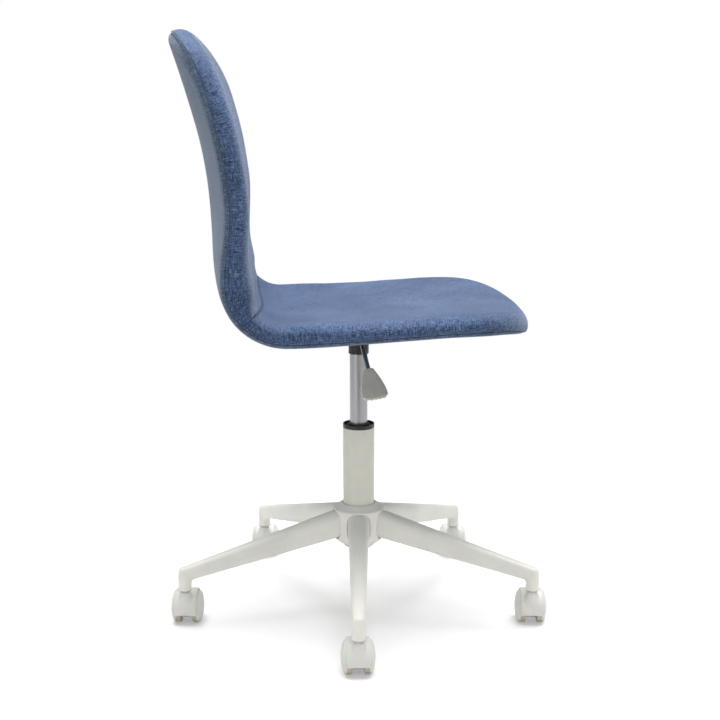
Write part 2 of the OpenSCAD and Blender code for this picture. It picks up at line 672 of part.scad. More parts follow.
// Core of a leg's section at the hub, inside its rounded corners
module leg_core() {
    square([leg_hub_w - 2 * leg_corner_r, leg_hub_h - 2 * leg_corner_r], center = true);
}
// Section of a leg at the hub, grown by g on every side, in the YZ plane
module leg_slice(g) {
    translate([leg_root_r, 0, leg_root_z]) rotate([90, 0, 90]) linear_extrude(1)
        offset(r = leg_corner_r + g) leg_core();
}
// Tapered leg from the hub to the upright end, grown by g on every side
module leg_skin(g) {
    hull() {
        leg_slice(g);
        for (e = [0, 0.3, 1], side = [-1, 1])
            translate([stem_circle_r, side * (leg_end_size / 2 - leg_end_r), end_low - g])
                cylinder(r = leg_end_r - end_round * e + g, $fn = blend_fn,
                         h = leg_end_size - end_round * pow(1 - e, 1.5) + 2 * g);
    }
}
module leg(i) color([0.78, 0.78, 0.74]) at_leg(i) difference() {
    union() {
        leg_skin(0);
        translate([stem_circle_r, 0, leg_end_bottom])
            cylinder(r = leg_end_r, h = end_low - leg_end_bottom + 1);
    }
    leg_skin(-leg_wall);
    translate([leg_root_r - 1, 0, leg_root_z]) rotate([90, 0, 90]) linear_extrude(3)
        offset(r = leg_corner_r - leg_wall - mouth_step) leg_core();
    translate([stem_circle_r, 0, leg_end_bottom - 1])
        cylinder(r = leg_end_r - leg_wall, h = end_low - leg_end_bottom + leg_end_r);
    translate([grub_x, 0, grub_low]) cylinder(r = grub_r + seat_fit, h = grub_len + 2);
}
// Outer form of the hub: a bell with a crown, a brim over the legs and a waist at their mouths
module hub_bell() {
    rotate_extrude() polygon([
        [0, hub_bottom], [hub_floor_r, hub_bottom], [hub_waist_r - 1, hub_bottom + hub_foot_h],
        [hub_waist_r, hub_bottom + 2 * hub_foot_h],
        [hub_waist_r, leg_hub_z + 8], [hub_brim_r - 1, hub_brim_z - 3], [hub_brim_r, hub_brim_z],
        [hub_brim_r - 3, hub_brim_z + 3.5], [hub_crown_r, hub_top], [0, hub_top]]);
}
module hub() color([0.76, 0.76, 0.72]) difference() {
    intersection() {
        hub_bell();
        union() {
            cylinder(r = hub_core_r, h = hub_top);
            translate([0, 0, brim_low]) cylinder(r1 = hub_core_r, r2 = hub_brim_r, h = hub_brim_z - brim_low);
            translate([0, 0, hub_brim_z]) cylinder(r = hub_brim_r, h = hub_top - hub_brim_z);
            for (i = [1:leg_count]) at_leg(i) translate([0, 0, leg_hub_z]) rotate([90, 0, 90])
                linear_extrude(hub_brim_r) offset(r = leg_corner_r + hub_lip) leg_core();
        }
    }
    translate([0, 0, column_bottom])
        cylinder(r1 = taper_end_r + seat_fit, r2 = column_r + seat_fit, h = taper_top - column_bottom);
    translate([0, 0, taper_top - 0.01]) cylinder(r = column_r + 3 * seat_fit, h = hub_top - taper_top + 1);
    for (i = [1:leg_count]) at_leg(i) leg_skin(leg_fit);
    for (i = [1:leg_count]) at_leg(i) translate([grub_x, 0, hub_bottom - 1])
        cylinder(r = grub_r + seat_fit, h = grub_low + grub_len - hub_bottom + 3);
}
module leg_screws() color([0.30, 0.30, 0.31]) for (i = [1:leg_count]) at_leg(i)
    translate([grub_x, 0, grub_low]) difference() {
        cylinder(r = grub_r, h = grub_len);
        translate([0, 0, -1]) cylinder(r = grub_r * hex_share, h = 4, $fn = 6);
    }

// ---- Casters ----
socket_flange_t = 1.2;
socket_len = 20;
ring_low = leg_end_bottom + 12;
ring_h = 2.4;
ring_depth = 0.9;
stem_low = wheel_r + axle_r + 4;
collar_top = leg_end_bottom - socket_flange_t - seat_fit;
collar_h = 2.4;
collar_r = stem_r + 2;
hood_top = collar_top - collar_h - seat_fit;
hood_in_r = wheel_r + hood_gap;
hood_out_r = hood_in_r + hood_wall;
web_half = half_gap - 0.8;
web_r = wheel_r - 6;
boss_r = stem_r + 3.2;
boss_low_r = 9.4;
boss_taper_z = wheel_r * 1.68;
skirt_z = 18.5;
hood_back_deg = 38;
dome_r = wheel_r - 1;
dome_sphere_r = (dome_r * dome_r + dome_h * dome_h) / (2 * dome_h);
axle_half = half_gap + tread_w - 1.5;
// Each caster stands at its own small angle to the direction of travel
caster_turn = [-1.5, -5.8, -5, -5, -7];

module at_stem(i) {
    at_leg(i) translate([stem_circle_r, 0, 0])
        rotate([0, 0, trail_dir + caster_turn[i - 1] - base_turn - (i - 1) * leg_step]) children();
}
// Frame of the wheels: the axle lies along local Z, the trail direction along X and up along Y
module at_axle(i) {
    at_stem(i) translate([trail, 0, wheel_r]) rotate([90, 0, 0]) children();
}
module stem_sockets() color([0.74, 0.74, 0.70]) for (i = [1:leg_count]) at_stem(i) difference() {
    union() {
        translate([0, 0, leg_end_bottom]) cylinder(r = leg_end_r - leg_wall - seat_fit, h = socket_len);
        translate([0, 0, leg_end_bottom - socket_flange_t]) cylinder(r = leg_end_r, h = socket_flange_t);
    }
    translate([0, 0, leg_end_bottom - 2]) cylinder(r = stem_r + run_fit, h = socket_len + 3);
    translate([0, 0, ring_low - seat_fit])
        cylinder(r = stem_r + ring_depth + seat_fit, h = ring_h + 2 * seat_fit);
}
module grip_rings() color([0.50, 0.50, 0.52]) for (i = [1:leg_count]) at_stem(i) translate([0, 0, ring_low])
    difference() {
        cylinder(r = stem_r + ring_depth, h = ring_h);
        translate([0, 0, -1]) cylinder(r = stem_r - ring_depth + seat_fit, h = ring_h + 2);
        translate([0, -1, -1]) cube([stem_r + 2, 2, ring_h + 2]);
    }
module stem(i) color([0.70, 0.71, 0.72]) at_stem(i) difference() {
    union() {
        translate([0, 0, stem_low]) cylinder(r = stem_r, h = leg_end_bottom + socket_len - 1 - stem_low);
        translate([0, 0, collar_top - collar_h]) cylinder(r = collar_r, h = collar_h);
    }
    translate([0, 0, ring_low - seat_fit]) difference() {
        cylinder(r = stem_r + 1, h = ring_h + 2 * seat_fit);
        translate([0, 0, -1]) cylinder(r = stem_r - ring_depth, h = ring_h + 3);
    }
}
// Sector of a disc of radius r, from angle a to angle b
module sector(r, a, b) {
    steps = 24;
    intersection() {
        circle(r);
        polygon(concat([[0, 0]],
                       [for (k = [0:steps]) let (v = a + (b - a) * k / steps) 2 * r * [cos(v), sin(v)]]));
    }
}
skirt_deg = 180 + asin((wheel_r - skirt_z) / hood_out_r);
module hood(i) color([0.86, 0.86, 0.85]) difference() {
    union() {
        at_axle(i) linear_extrude(2 * hood_half_w, center = true) difference() {
            sector(hood_out_r, hood_back_deg, skirt_deg);
            circle(hood_in_r);
        }
        at_axle(i) linear_extrude(2 * web_half, center = true) {
            sector(hood_in_r + 1, hood_back_deg, skirt_deg);
            circle(web_r);
        }
        at_stem(i) translate([0, 0, wheel_r]) cylinder(r = boss_low_r, h = boss_taper_z - wheel_r);
        at_stem(i) translate([0, 0, boss_taper_z])
            cylinder(r1 = boss_low_r, r2 = boss_r, h = hood_top - boss_taper_z);
    }
    at_axle(i) for (z = [web_half, -web_half - wheel_r]) translate([0, 0, z])
        cylinder(r = hood_in_r, h = wheel_r);
    at_stem(i) translate([0, 0, stem_low - 1]) cylinder(r = stem_r + run_fit, h = hood_top - stem_low + 2);
    at_axle(i) cylinder(r = axle_r, h = 2 * wheel_r, center = true);
}
module axle(i) color([0.55, 0.56, 0.58]) at_axle(i) cylinder(r = axle_r, h = 2 * axle_half, center = true);
// A wheel on the side that side gives, 1 or -1: a tread with eased edges and a domed outer face
module wheel(i, side) color([0.84, 0.83, 0.80]) at_axle(i) mirror([0, 0, side > 0 ? 0 : 1]) difference() {
    union() {
        translate([0, 0, half_gap]) cylinder(r1 = dome_r, r2 = wheel_r, h = 1);
        translate([0, 0, half_gap + 1]) cylinder(r = wheel_r, h = tread_w - 2);
        translate([0, 0, half_gap + tread_w - 1]) cylinder(r1 = wheel_r, r2 = dome_r, h = 1);
        intersection() {
            translate([0, 0, half_gap + tread_w + dome_h - dome_sphere_r]) sphere(dome_sphere_r);
            translate([0, 0, half_gap + tread_w - 1]) cylinder(r = dome_r, h = dome_h + 2);
        }
    }
    translate([0, 0, half_gap - 1]) cylinder(r = axle_r + run_fit, h = tread_w);
}

hub();
leg_screws();
stem_sockets();
grip_rings();
column_tube();
guide_bush();
thrust_bearing();
retaining_clip();
bump_stop();
piston_rod();
piston();
pressure_tube();
valve_pin();
mounting_plate();
lever_pin();
lever_rod();
lever_paddle();
plate_screws();
tee_nuts();
shell();
foam();
cover_outer();
cover_seat();
cover_back();
for (i = [1:leg_count]) {
    leg(i);
    hood(i);
    stem(i);
    axle(i);
    wheel(i, 1);
    wheel(i, -1);
}
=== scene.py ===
"""Dresses the swivel office chair: upholstery, gas lift, lever, five-leg base, casters, studio and camera."""

import logging
import math
from collections.abc import Iterator
from contextlib import contextmanager
from dataclasses import dataclass, field
from enum import Enum

import bmesh
import bpy
import numpy as np
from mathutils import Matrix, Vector


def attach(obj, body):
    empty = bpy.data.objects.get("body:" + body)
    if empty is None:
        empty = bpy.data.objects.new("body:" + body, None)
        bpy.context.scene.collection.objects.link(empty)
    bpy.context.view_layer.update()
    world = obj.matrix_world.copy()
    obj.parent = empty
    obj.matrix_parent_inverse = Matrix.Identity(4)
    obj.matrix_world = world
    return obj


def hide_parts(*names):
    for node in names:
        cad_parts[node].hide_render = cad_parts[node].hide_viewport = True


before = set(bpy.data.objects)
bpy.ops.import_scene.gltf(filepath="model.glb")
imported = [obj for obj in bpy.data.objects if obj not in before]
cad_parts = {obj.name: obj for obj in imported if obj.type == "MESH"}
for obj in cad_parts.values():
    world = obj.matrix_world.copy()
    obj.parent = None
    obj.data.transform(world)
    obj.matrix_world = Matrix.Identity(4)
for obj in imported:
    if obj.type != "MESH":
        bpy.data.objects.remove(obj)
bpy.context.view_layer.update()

logging.basicConfig(level=logging.INFO, format="%(name)s: %(message)s")
log = logging.getLogger("chair")

Array = np.ndarray
Colour = tuple[float, float, float]
Material = bpy.types.Material
Object = bpy.types.Object
MM = 0.001


def srgb(code: str) -> Colour:
    """Linear colour of a six-digit display colour.

    Args:
        code: hexadecimal colour such as "8090a0".

    Returns:
        Red, green and blue from 0 to 1, linear.
    """
    parts = np.array([int(code[i : i + 2], 16) for i in (0, 2, 4)]) / 255
    linear = np.where(parts <= 0.04045, parts / 12.92, ((parts + 0.055) / 1.055) ** 2.4)
    return tuple(float(c) for c in linear)


def ease(x: Array, knots: Array, values: Array) -> Array:
    """Smooth steps through a table: t*t*(3-2t) between each pair of rows, level at each row."""
    i = np.clip(np.searchsorted(knots, x, side="left") - 1, 0, len(knots) - 2)
    t = np.clip((x - knots[i]) / (knots[i + 1] - knots[i]), 0, 1)
    return values[i] + (values[i + 1] - values[i]) * t * t * (3 - 2 * t)


def smooth_min(a: Array, b: Array, k: float) -> Array:
    """The lower of two fields, blended over a width k: min - h*h*k/4 with h = max(0, 1 - |a-b|/k)."""
    h = np.maximum(0, 1 - np.abs(a - b) / k)
    return np.minimum(a, b) - h * h * k / 4


def smooth_max(a: Array, b: Array, k: float) -> Array:
    """The higher of two fields, blended over a width k."""
    return -smooth_min(-a, -b, k)


def through(points: list[tuple[float, float]], steps: int) -> Array:
    """Smooth curve through points: each span is a cubic whose end slopes run between the neighbours.

    Args:
        points: the points that the curve passes, in order.
        steps: number of steps in each span.

    Returns:
        Array of (count, 2) points along the curve.
    """
    p = np.asarray(points, float)
    q = np.vstack([2 * p[0] - p[1], p, 2 * p[-1] - p[-2]])
    t = (np.arange(steps) / steps)[None, :, None]
    a, b, c, d = (q[k : k + len(p) - 1][:, None, :] for k in range(4))
    spans = 0.5 * (2 * b + (c - a) * t + (2 * a - 5 * b + 4 * c - d) * t**2 + (3 * b - a - 3 * c + d) * t**3)
    return np.vstack([spans.reshape(-1, 2), p[-1:]])


def ray_radius(field_of, origin: Array, direction: Array, far: float) -> Array:
    """Distance along each ray to where a field turns positive, by halving the bracket 26 times.

    Args:
        field_of: function of an array of points, negative inside the solid.
        origin: start of each ray, inside the solid.
        direction: unit direction of each ray.
        far: a distance that lies outside the solid on every ray.

    Returns:
        Distance along each ray.
    """
    low = np.zeros(direction.shape[:-1])
    high = np.full(direction.shape[:-1], far)
    for _ in range(26):
        mid = (low + high) / 2
        inside = field_of(origin + direction * mid[..., None]) < 0
        low, high = np.where(inside, mid, low), np.where(inside, high, mid)
    return (low + high) / 2


def circle(count: int) -> Array:
    """Angles of a full turn in even steps, in radians."""
    return np.linspace(0, 2 * math.pi, count, endpoint=False)


def rotated(x: Array, y: Array, angle: float) -> tuple[Array, Array]:
    """The components x and y turned by an angle: x*cos - y*sin and x*sin + y*cos."""
    c, s = math.cos(angle), math.sin(angle)
    return x * c - y * s, x * s + y * c


# ---------------------------------------------------------------- meshes


def put(name: str, data: bpy.types.ID) -> Object:
    """Puts a new object that shows the data into the scene."""
    thing = bpy.data.objects.new(name, data)
    bpy.context.scene.collection.objects.link(thing)
    return thing


@contextmanager
def editing(mesh: bpy.types.Mesh) -> Iterator[bmesh.types.BMesh]:
    """Opens a mesh for editing and writes it back at the end."""
    work = bmesh.new()
    work.from_mesh(mesh)
    yield work
    work.to_mesh(mesh)
    work.free()


@dataclass
class Patch:
    """A grid of points that becomes quads; points are (rows, columns, 3) in metres, uv is (rows, columns, 2)."""

    points: Array
    uv: Array | None = None
    wrap: bool = False
    slot: int = 0

    def quads(self, start: int) -> Array:
        """Corner numbers of each quad, counted from start; the columns join up where wrap is set."""
        rows, cols = self.points.shape[:2]
        ids = start + np.arange(rows * cols).reshape(rows, cols)
        if self.wrap:
            ids = np.hstack([ids, ids[:, :1]])
        return np.stack([ids[:-1, :-1], ids[:-1, 1:], ids[1:, 1:], ids[1:, :-1]], -1).reshape(-1, 4)


def build_piece(name: str, patches: list[Patch], body: str, materials: list[Material],
                merge: float = 1e-5) -> Object:
    """Joins patches into one closed, smooth mesh whose faces point outwards.

    Args:
        name: the piece's name.
        patches: its surfaces, whose edges meet.
        body: the body that it rides on.
        materials: one for each slot number that the patches use.
        merge: distance in metres within which points are one.

    Returns:
        The new object.
    """
    points = np.vstack([p.points.reshape(-1, 3) for p in patches])
    starts = np.cumsum([0] + [p.points.shape[0] * p.points.shape[1] for p in patches])
    quads = np.vstack([p.quads(int(s)) for p, s in zip(patches, starts)])
    slots = np.concatenate([np.full(len(p.quads(0)), p.slot) for p in patches])
    uv = np.vstack([(p.uv if p.uv is not None else p.points[..., :2]).reshape(-1, 2) for p in patches])
    mesh = bpy.data.meshes.new(name)
    mesh.from_pydata(points.tolist(), [], quads.tolist())
    mesh.polygons.foreach_set("material_index", slots.astype(np.int32))
    layer = mesh.uv_layers.new(name="cloth")
    layer.data.foreach_set("uv", uv[quads.reshape(-1)].astype(np.float32).reshape(-1))
    with editing(mesh) as work:
        bmesh.ops.remove_doubles(work, verts=work.verts, dist=merge)
        bmesh.ops.dissolve_degenerate(work, edges=work.edges, dist=merge / 4)
        bmesh.ops.recalc_face_normals(work, faces=work.faces)
        for face in work.faces:
            face.smooth = True
    for material in materials:
        mesh.materials.append(material)
    piece = put(name, mesh)
    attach(piece, body)
    log.info("%s: %d faces on %s", name, len(mesh.polygons), body)
    return piece


def crisp(piece: Object, degrees: float) -> None:
    """Keeps edges sharper than the angle sharp in an otherwise smooth piece."""
    with editing(piece.data) as work:
        for edge in work.edges:
            edge.smooth = len(edge.link_faces) == 2 and edge.calc_face_angle(0) < math.radians(degrees)


def revolve(r: Array, z: Array) -> Array:
    """Surface of revolution: radius r and height z, one column for each angle, as a grid of points."""
    turn = circle(r.shape[1])
    return np.stack([r * np.cos(turn), r * np.sin(turn), z], -1)


def cap(rim: Array, centre: Array, inner: float) -> Array:
    """Rows that close a ring: the ring, one that has gone the share inner to the centre, and the centre."""
    return np.stack([rim, rim * (1 - inner) + centre * inner, rim * 0 + centre])


# ---------------------------------------------------------------- shader graph


class Val:
    """A number that changes over a surface; arithmetic on it adds Math nodes."""

    def __init__(self, graph: "Graph", socket: bpy.types.NodeSocket) -> None:
        """Wraps one output socket of a graph."""
        self.graph, self.socket = graph, socket

    def _math(self, operation: str, left, right) -> "Val":
        """One Math node on two values."""
        return self.graph.value("ShaderNodeMath", {"operation": operation}, {0: left, 1: right})

    def __add__(self, other) -> "Val":
        """Sum."""
        return self._math("ADD", self, other)

    __radd__ = __add__

    def __sub__(self, other) -> "Val":
        """Difference."""
        return self._math("SUBTRACT", self, other)

    def __rsub__(self, other) -> "Val":
        """Difference, from a plain number."""
        return self._math("SUBTRACT", other, self)

    def __mul__(self, other) -> "Val":
        """Product."""
        return self._math("MULTIPLY", self, other)

    __rmul__ = __mul__

    def sin(self) -> "Val":
        """Sine."""
        return self._math("SINE", self, 0)

    def clamp(self) -> "Val":
        """The value held between 0 and 1."""
        return self.graph.value("ShaderNodeClamp", {}, {0: self})

    def step(self, low: float, high: float) -> "Val":
        """Smooth step from 0 at low to 1 at high."""
        return self.graph.value("ShaderNodeMapRange", {"interpolation_type": "SMOOTHSTEP"},
                                {0: self, 1: low, 2: high, 3: 0.0, 4: 1.0})


class Graph:
    """The node tree of one material, with a Principled shader at its end."""

    def __init__(self, name: str) -> None:
        """Starts a material of that name."""
        self.material = bpy.data.materials.new(name)
        self.material.use_nodes = True
        self.tree = self.material.node_tree
        self.tree.nodes.clear()
        self.shader = self.add("ShaderNodeBsdfPrincipled")
        self.out = self.add("ShaderNodeOutputMaterial", None, {"Surface": self.shader.outputs[0]})

    def add(self, kind: str, settings: dict | None = None, inputs: dict | None = None) -> bpy.types.Node:
        """Adds one node.

        Args:
            kind: the node's type.
            settings: attributes set first; "stops" gives a ramp's (position, colour) pairs.
            inputs: socket name or number to a value, a Val or another node's socket.

        Returns:
            The node.
        """
        node = self.tree.nodes.new(kind)
        for key, value in (settings or {}).items():
            if key == "stops":
                ramp = node.color_ramp
                while len(ramp.elements) < len(value):
                    ramp.elements.new(0.5)
                for element, (at, colour) in zip(ramp.elements, value):
                    element.position, element.color = at, (*colour, 1)
            else:
                setattr(node, key, value)
        for key, value in (inputs or {}).items():
            self.feed(node.inputs[key], value)
        return node

    def feed(self, socket: bpy.types.NodeSocket, value) -> None:
        """Links or sets one input socket."""
        if isinstance(value, Val):
            value = value.socket
        if isinstance(value, bpy.types.NodeSocket):
            self.tree.links.new(value, socket)
        elif isinstance(value, tuple) and len(value) == 3 and socket.type == "RGBA":
            socket.default_value = (*value, 1)
        else:
            socket.default_value = value

    def value(self, kind: str, settings: dict | None = None, inputs: dict | None = None,
              out: int | str = 0) -> Val:
        """Adds a node and gives one of its outputs as a Val."""
        return Val(self, self.add(kind, settings, inputs).outputs[out])

    def stretch(self, where: Val, scale: tuple[float, float, float]) -> Val:
        """Coordinates times a scale along each axis."""
        return self.value("ShaderNodeVectorMath", {"operation": "MULTIPLY"}, {0: where, 1: scale})

    def coords(self, scale: tuple[float, float, float] = (1, 1, 1)) -> Val:
        """Object coordinates in metres times a scale along each axis."""
        return self.stretch(self.value("ShaderNodeTexCoord", None, None, "Object"), scale)

    def noise(self, where: Val, scale: float, detail: float = 2, rough: float = 0.5) -> Val:
        """Noise of mean 0.5 at points given by where."""
        return self.value("ShaderNodeTexNoise", None,
                          {"Vector": where, "Scale": scale, "Detail": detail, "Roughness": rough})

    def mix(self, factor, low, high) -> Val:
        """Colour that goes from low to high as factor goes from 0 to 1."""
        return self.value("ShaderNodeMix", {"data_type": "RGBA"}, {0: factor, 6: low, 7: high}, 2)

    def finish(self, **sockets) -> Material:
        """Sets the shader's sockets, named with underscores for spaces, and gives the material."""
        for key, value in sockets.items():
            self.feed(self.shader.inputs[key.replace("_", " ")], value)
        return self.material

    def bump(self, height: Val, depth: float, under=None) -> Val:
        """Normal of a surface raised by height times depth in metres."""
        inputs = {"Height": height, "Distance": depth, "Strength": 1.0}
        if under is not None:
            inputs["Normal"] = under
        return self.value("ShaderNodeBump", None, inputs)


@dataclass(frozen=True)
class PaintFinish:
    """Satin powder paint on steel: fine orange peel, faint cloudiness and dust in the grain."""

    name: str
    colour: Colour
    roughness: float = 0.42
    peel: float = 0.00004

    def make(self) -> Material:
        """Builds the material."""
        g = Graph(self.name)
        at = g.coords()
        cloud = g.noise(at, 14, 3, 0.6)
        grain = g.noise(at, 900, 2, 0.6)
        peel = g.noise(at, 420, 1, 0.4)
        dark = tuple(c * 0.93 for c in self.colour)
        lit = tuple(min(1, c * 1.04) for c in self.colour)
        base = g.mix((cloud * 0.7 + grain * 0.3).step(0.3, 0.7), dark, lit)
        normal = g.bump(grain, self.peel * 0.35, g.bump(peel, self.peel))
        return g.finish(Base_Color=base, Roughness=(cloud * 0.14 + grain * 0.08 + (self.roughness - 0.11)).clamp(),
                        Normal=normal, Specular_IOR_Level=0.5)


@dataclass(frozen=True)
class PlasticFinish:
    """Moulded plastic with a spark-eroded grain and slight scuffing that changes its gloss."""

    name: str
    colour: Colour
    roughness: float = 0.4
    grain: float = 0.00003

    def make(self) -> Material:
        """Builds the material."""
        g = Graph(self.name)
        at = g.coords()
        texture = g.noise(at, 1500, 2, 0.7)
        scuff = g.noise(at, 60, 4, 0.7).step(0.45, 0.75)
        base = g.mix(scuff * 0.5, self.colour, tuple(min(1, c * 0.92 + 0.004) for c in self.colour))
        rough = (scuff * 0.16 + texture * 0.08 + (self.roughness - 0.06)).clamp()
        return g.finish(Base_Color=base, Roughness=rough, Normal=g.bump(texture, self.grain))


@dataclass(frozen=True)
class SteelFinish:
    """Ground steel: fine lines around the axis Z, faint stains and a thin film of oil."""

    name: str
    colour: Colour
    roughness: float = 0.28
    lines: float = 1600

    def make(self) -> Material:
        """Builds the material."""
        g = Graph(self.name)
        rings = g.noise(g.coords(scale=(4, 4, self.lines)), 1, 3, 0.6)
        stain = g.noise(g.coords(scale=(30, 30, 12)), 1, 3, 0.6)
        base = g.mix(rings.step(0.3, 0.7), tuple(c * 0.9 for c in self.colour), self.colour)
        return g.finish(Base_Color=base, Metallic=1.0, Normal=g.bump(rings, 0.000006),
                        Roughness=(rings * 0.08 + stain * 0.12 + (self.roughness - 0.1)).clamp())


@dataclass(frozen=True)
class RubberFinish:
    """Matte rubber with a dusty bloom."""

    name: str
    colour: Colour

    def make(self) -> Material:
        """Builds the material."""
        g = Graph(self.name)
        bloom = g.noise(g.coords(), 120, 4, 0.7)
        base = g.mix(bloom.step(0.35, 0.75), self.colour, tuple(c + 0.02 for c in self.colour))
        return g.finish(Base_Color=base, Roughness=bloom * 0.2 + 0.65, Normal=g.bump(bloom, 0.00005))


@dataclass(frozen=True)
class PlyFinish:
    """Moulded beech plywood: stripes of its plies and a fine grain."""

    name: str
    pale: Colour
    dark: Colour

    def make(self) -> Material:
        """Builds the material."""
        g = Graph(self.name)
        grain = g.noise(g.coords(scale=(40, 400, 400)), 1, 4, 0.65)
        return g.finish(Base_Color=g.mix(grain.step(0.3, 0.7), self.dark, self.pale), Roughness=0.6,
                        Normal=g.bump(grain, 0.00008))


@dataclass(frozen=True)
class WeaveFinish:
    """Melange plain weave: warp and weft threads that each change colour along their length.

    The cloth map gives metres along the seat and across it. Threads stand at the given pitch. Where
    sin(u)*sin(v) is positive the warp lies on top, and elsewhere the weft does. Each layer of colour is noise
    of the given count per metre along the seat and across it. The colour is also painted lighter on the
    crowns of the threads and darker in the dips between them, as light and shade would fall there.
    """

    name: str
    deep: Colour
    middle: Colour
    pale: Colour
    pitch: float = 0.0011
    relief: float = 0.00022
    waver: float = 0.0007
    warp: tuple[float, float] = (150, 900)
    weft: tuple[float, float] = (900, 110)
    thick_warp: tuple[float, float] = (110, 620)
    thick_weft: tuple[float, float] = (560, 70)
    cloud: tuple[float, float] = (9, 9)
    blot: tuple[float, float] = (420, 170)
    fuzz: tuple[float, float] = (2600, 2600)

    def make(self) -> Material:
        """Builds the material."""
        g = Graph(self.name)
        plain = g.value("ShaderNodeTexCoord", None, None, "UV")
        wobble = g.value("ShaderNodeTexNoise", None, {"Vector": plain, "Scale": 160.0, "Detail": 1.0}, 1)
        shift = g.value("ShaderNodeVectorMath", {"operation": "MULTIPLY_ADD"},
                        {0: wobble, 1: (self.waver, self.waver, 0), 2: plain})
        split = g.add("ShaderNodeSeparateXYZ", None, {0: shift})
        turn = math.pi / self.pitch
        warp, weft = ((Val(g, out) * turn).sin() for out in split.outputs[:2])
        over = (warp * weft).step(-0.25, 0.25)

        def layer(count: tuple[float, float], detail: int, rough: float) -> Val:
            """Noise stretched to a count per metre each way."""
            return g.noise(g.stretch(plain, (*count, 1)), 1, detail, rough)

        along, across = layer(self.warp, 2, 0.7), layer(self.weft, 2, 0.7)
        thick, thick_across = layer(self.thick_warp, 2, 0.6), layer(self.thick_weft, 2, 0.6)
        cloud, blot, fuzz = layer(self.cloud, 3, 0.6), layer(self.blot, 2, 0.7), layer(self.fuzz, 2, 0.7)
        thread = over * along + (1 - over) * across
        crown = warp * warp * (1 - over) + weft * weft * over
        tone = thread * 0.46 + thick * 0.20 + thick_across * 0.24 + blot * 0.10 + (cloud - 0.5) * 0.12
        stops = [(0.40, self.deep), (0.50, self.middle), (0.60, self.pale)]
        # crown * 0.07 - 0.035 is painted light: lighter on the thread crowns and darker in the dips between
        # threads.
        shade = g.value("ShaderNodeValToRGB", {"stops": stops}, {0: tone + crown * 0.07 - 0.035})
        height = crown * 0.7 + thread * 0.6 + fuzz * 0.25 + blot * 0.35
        return g.finish(Base_Color=shade, Roughness=fuzz * 0.12 + 0.78, Normal=g.bump(height, self.relief),
                        Sheen_Weight=0.65, Sheen_Roughness=0.35, Sheen_Tint=(0.74, 0.80, 0.92),
                        Specular_IOR_Level=0.25)


# ---------------------------------------------------------------- upholstery


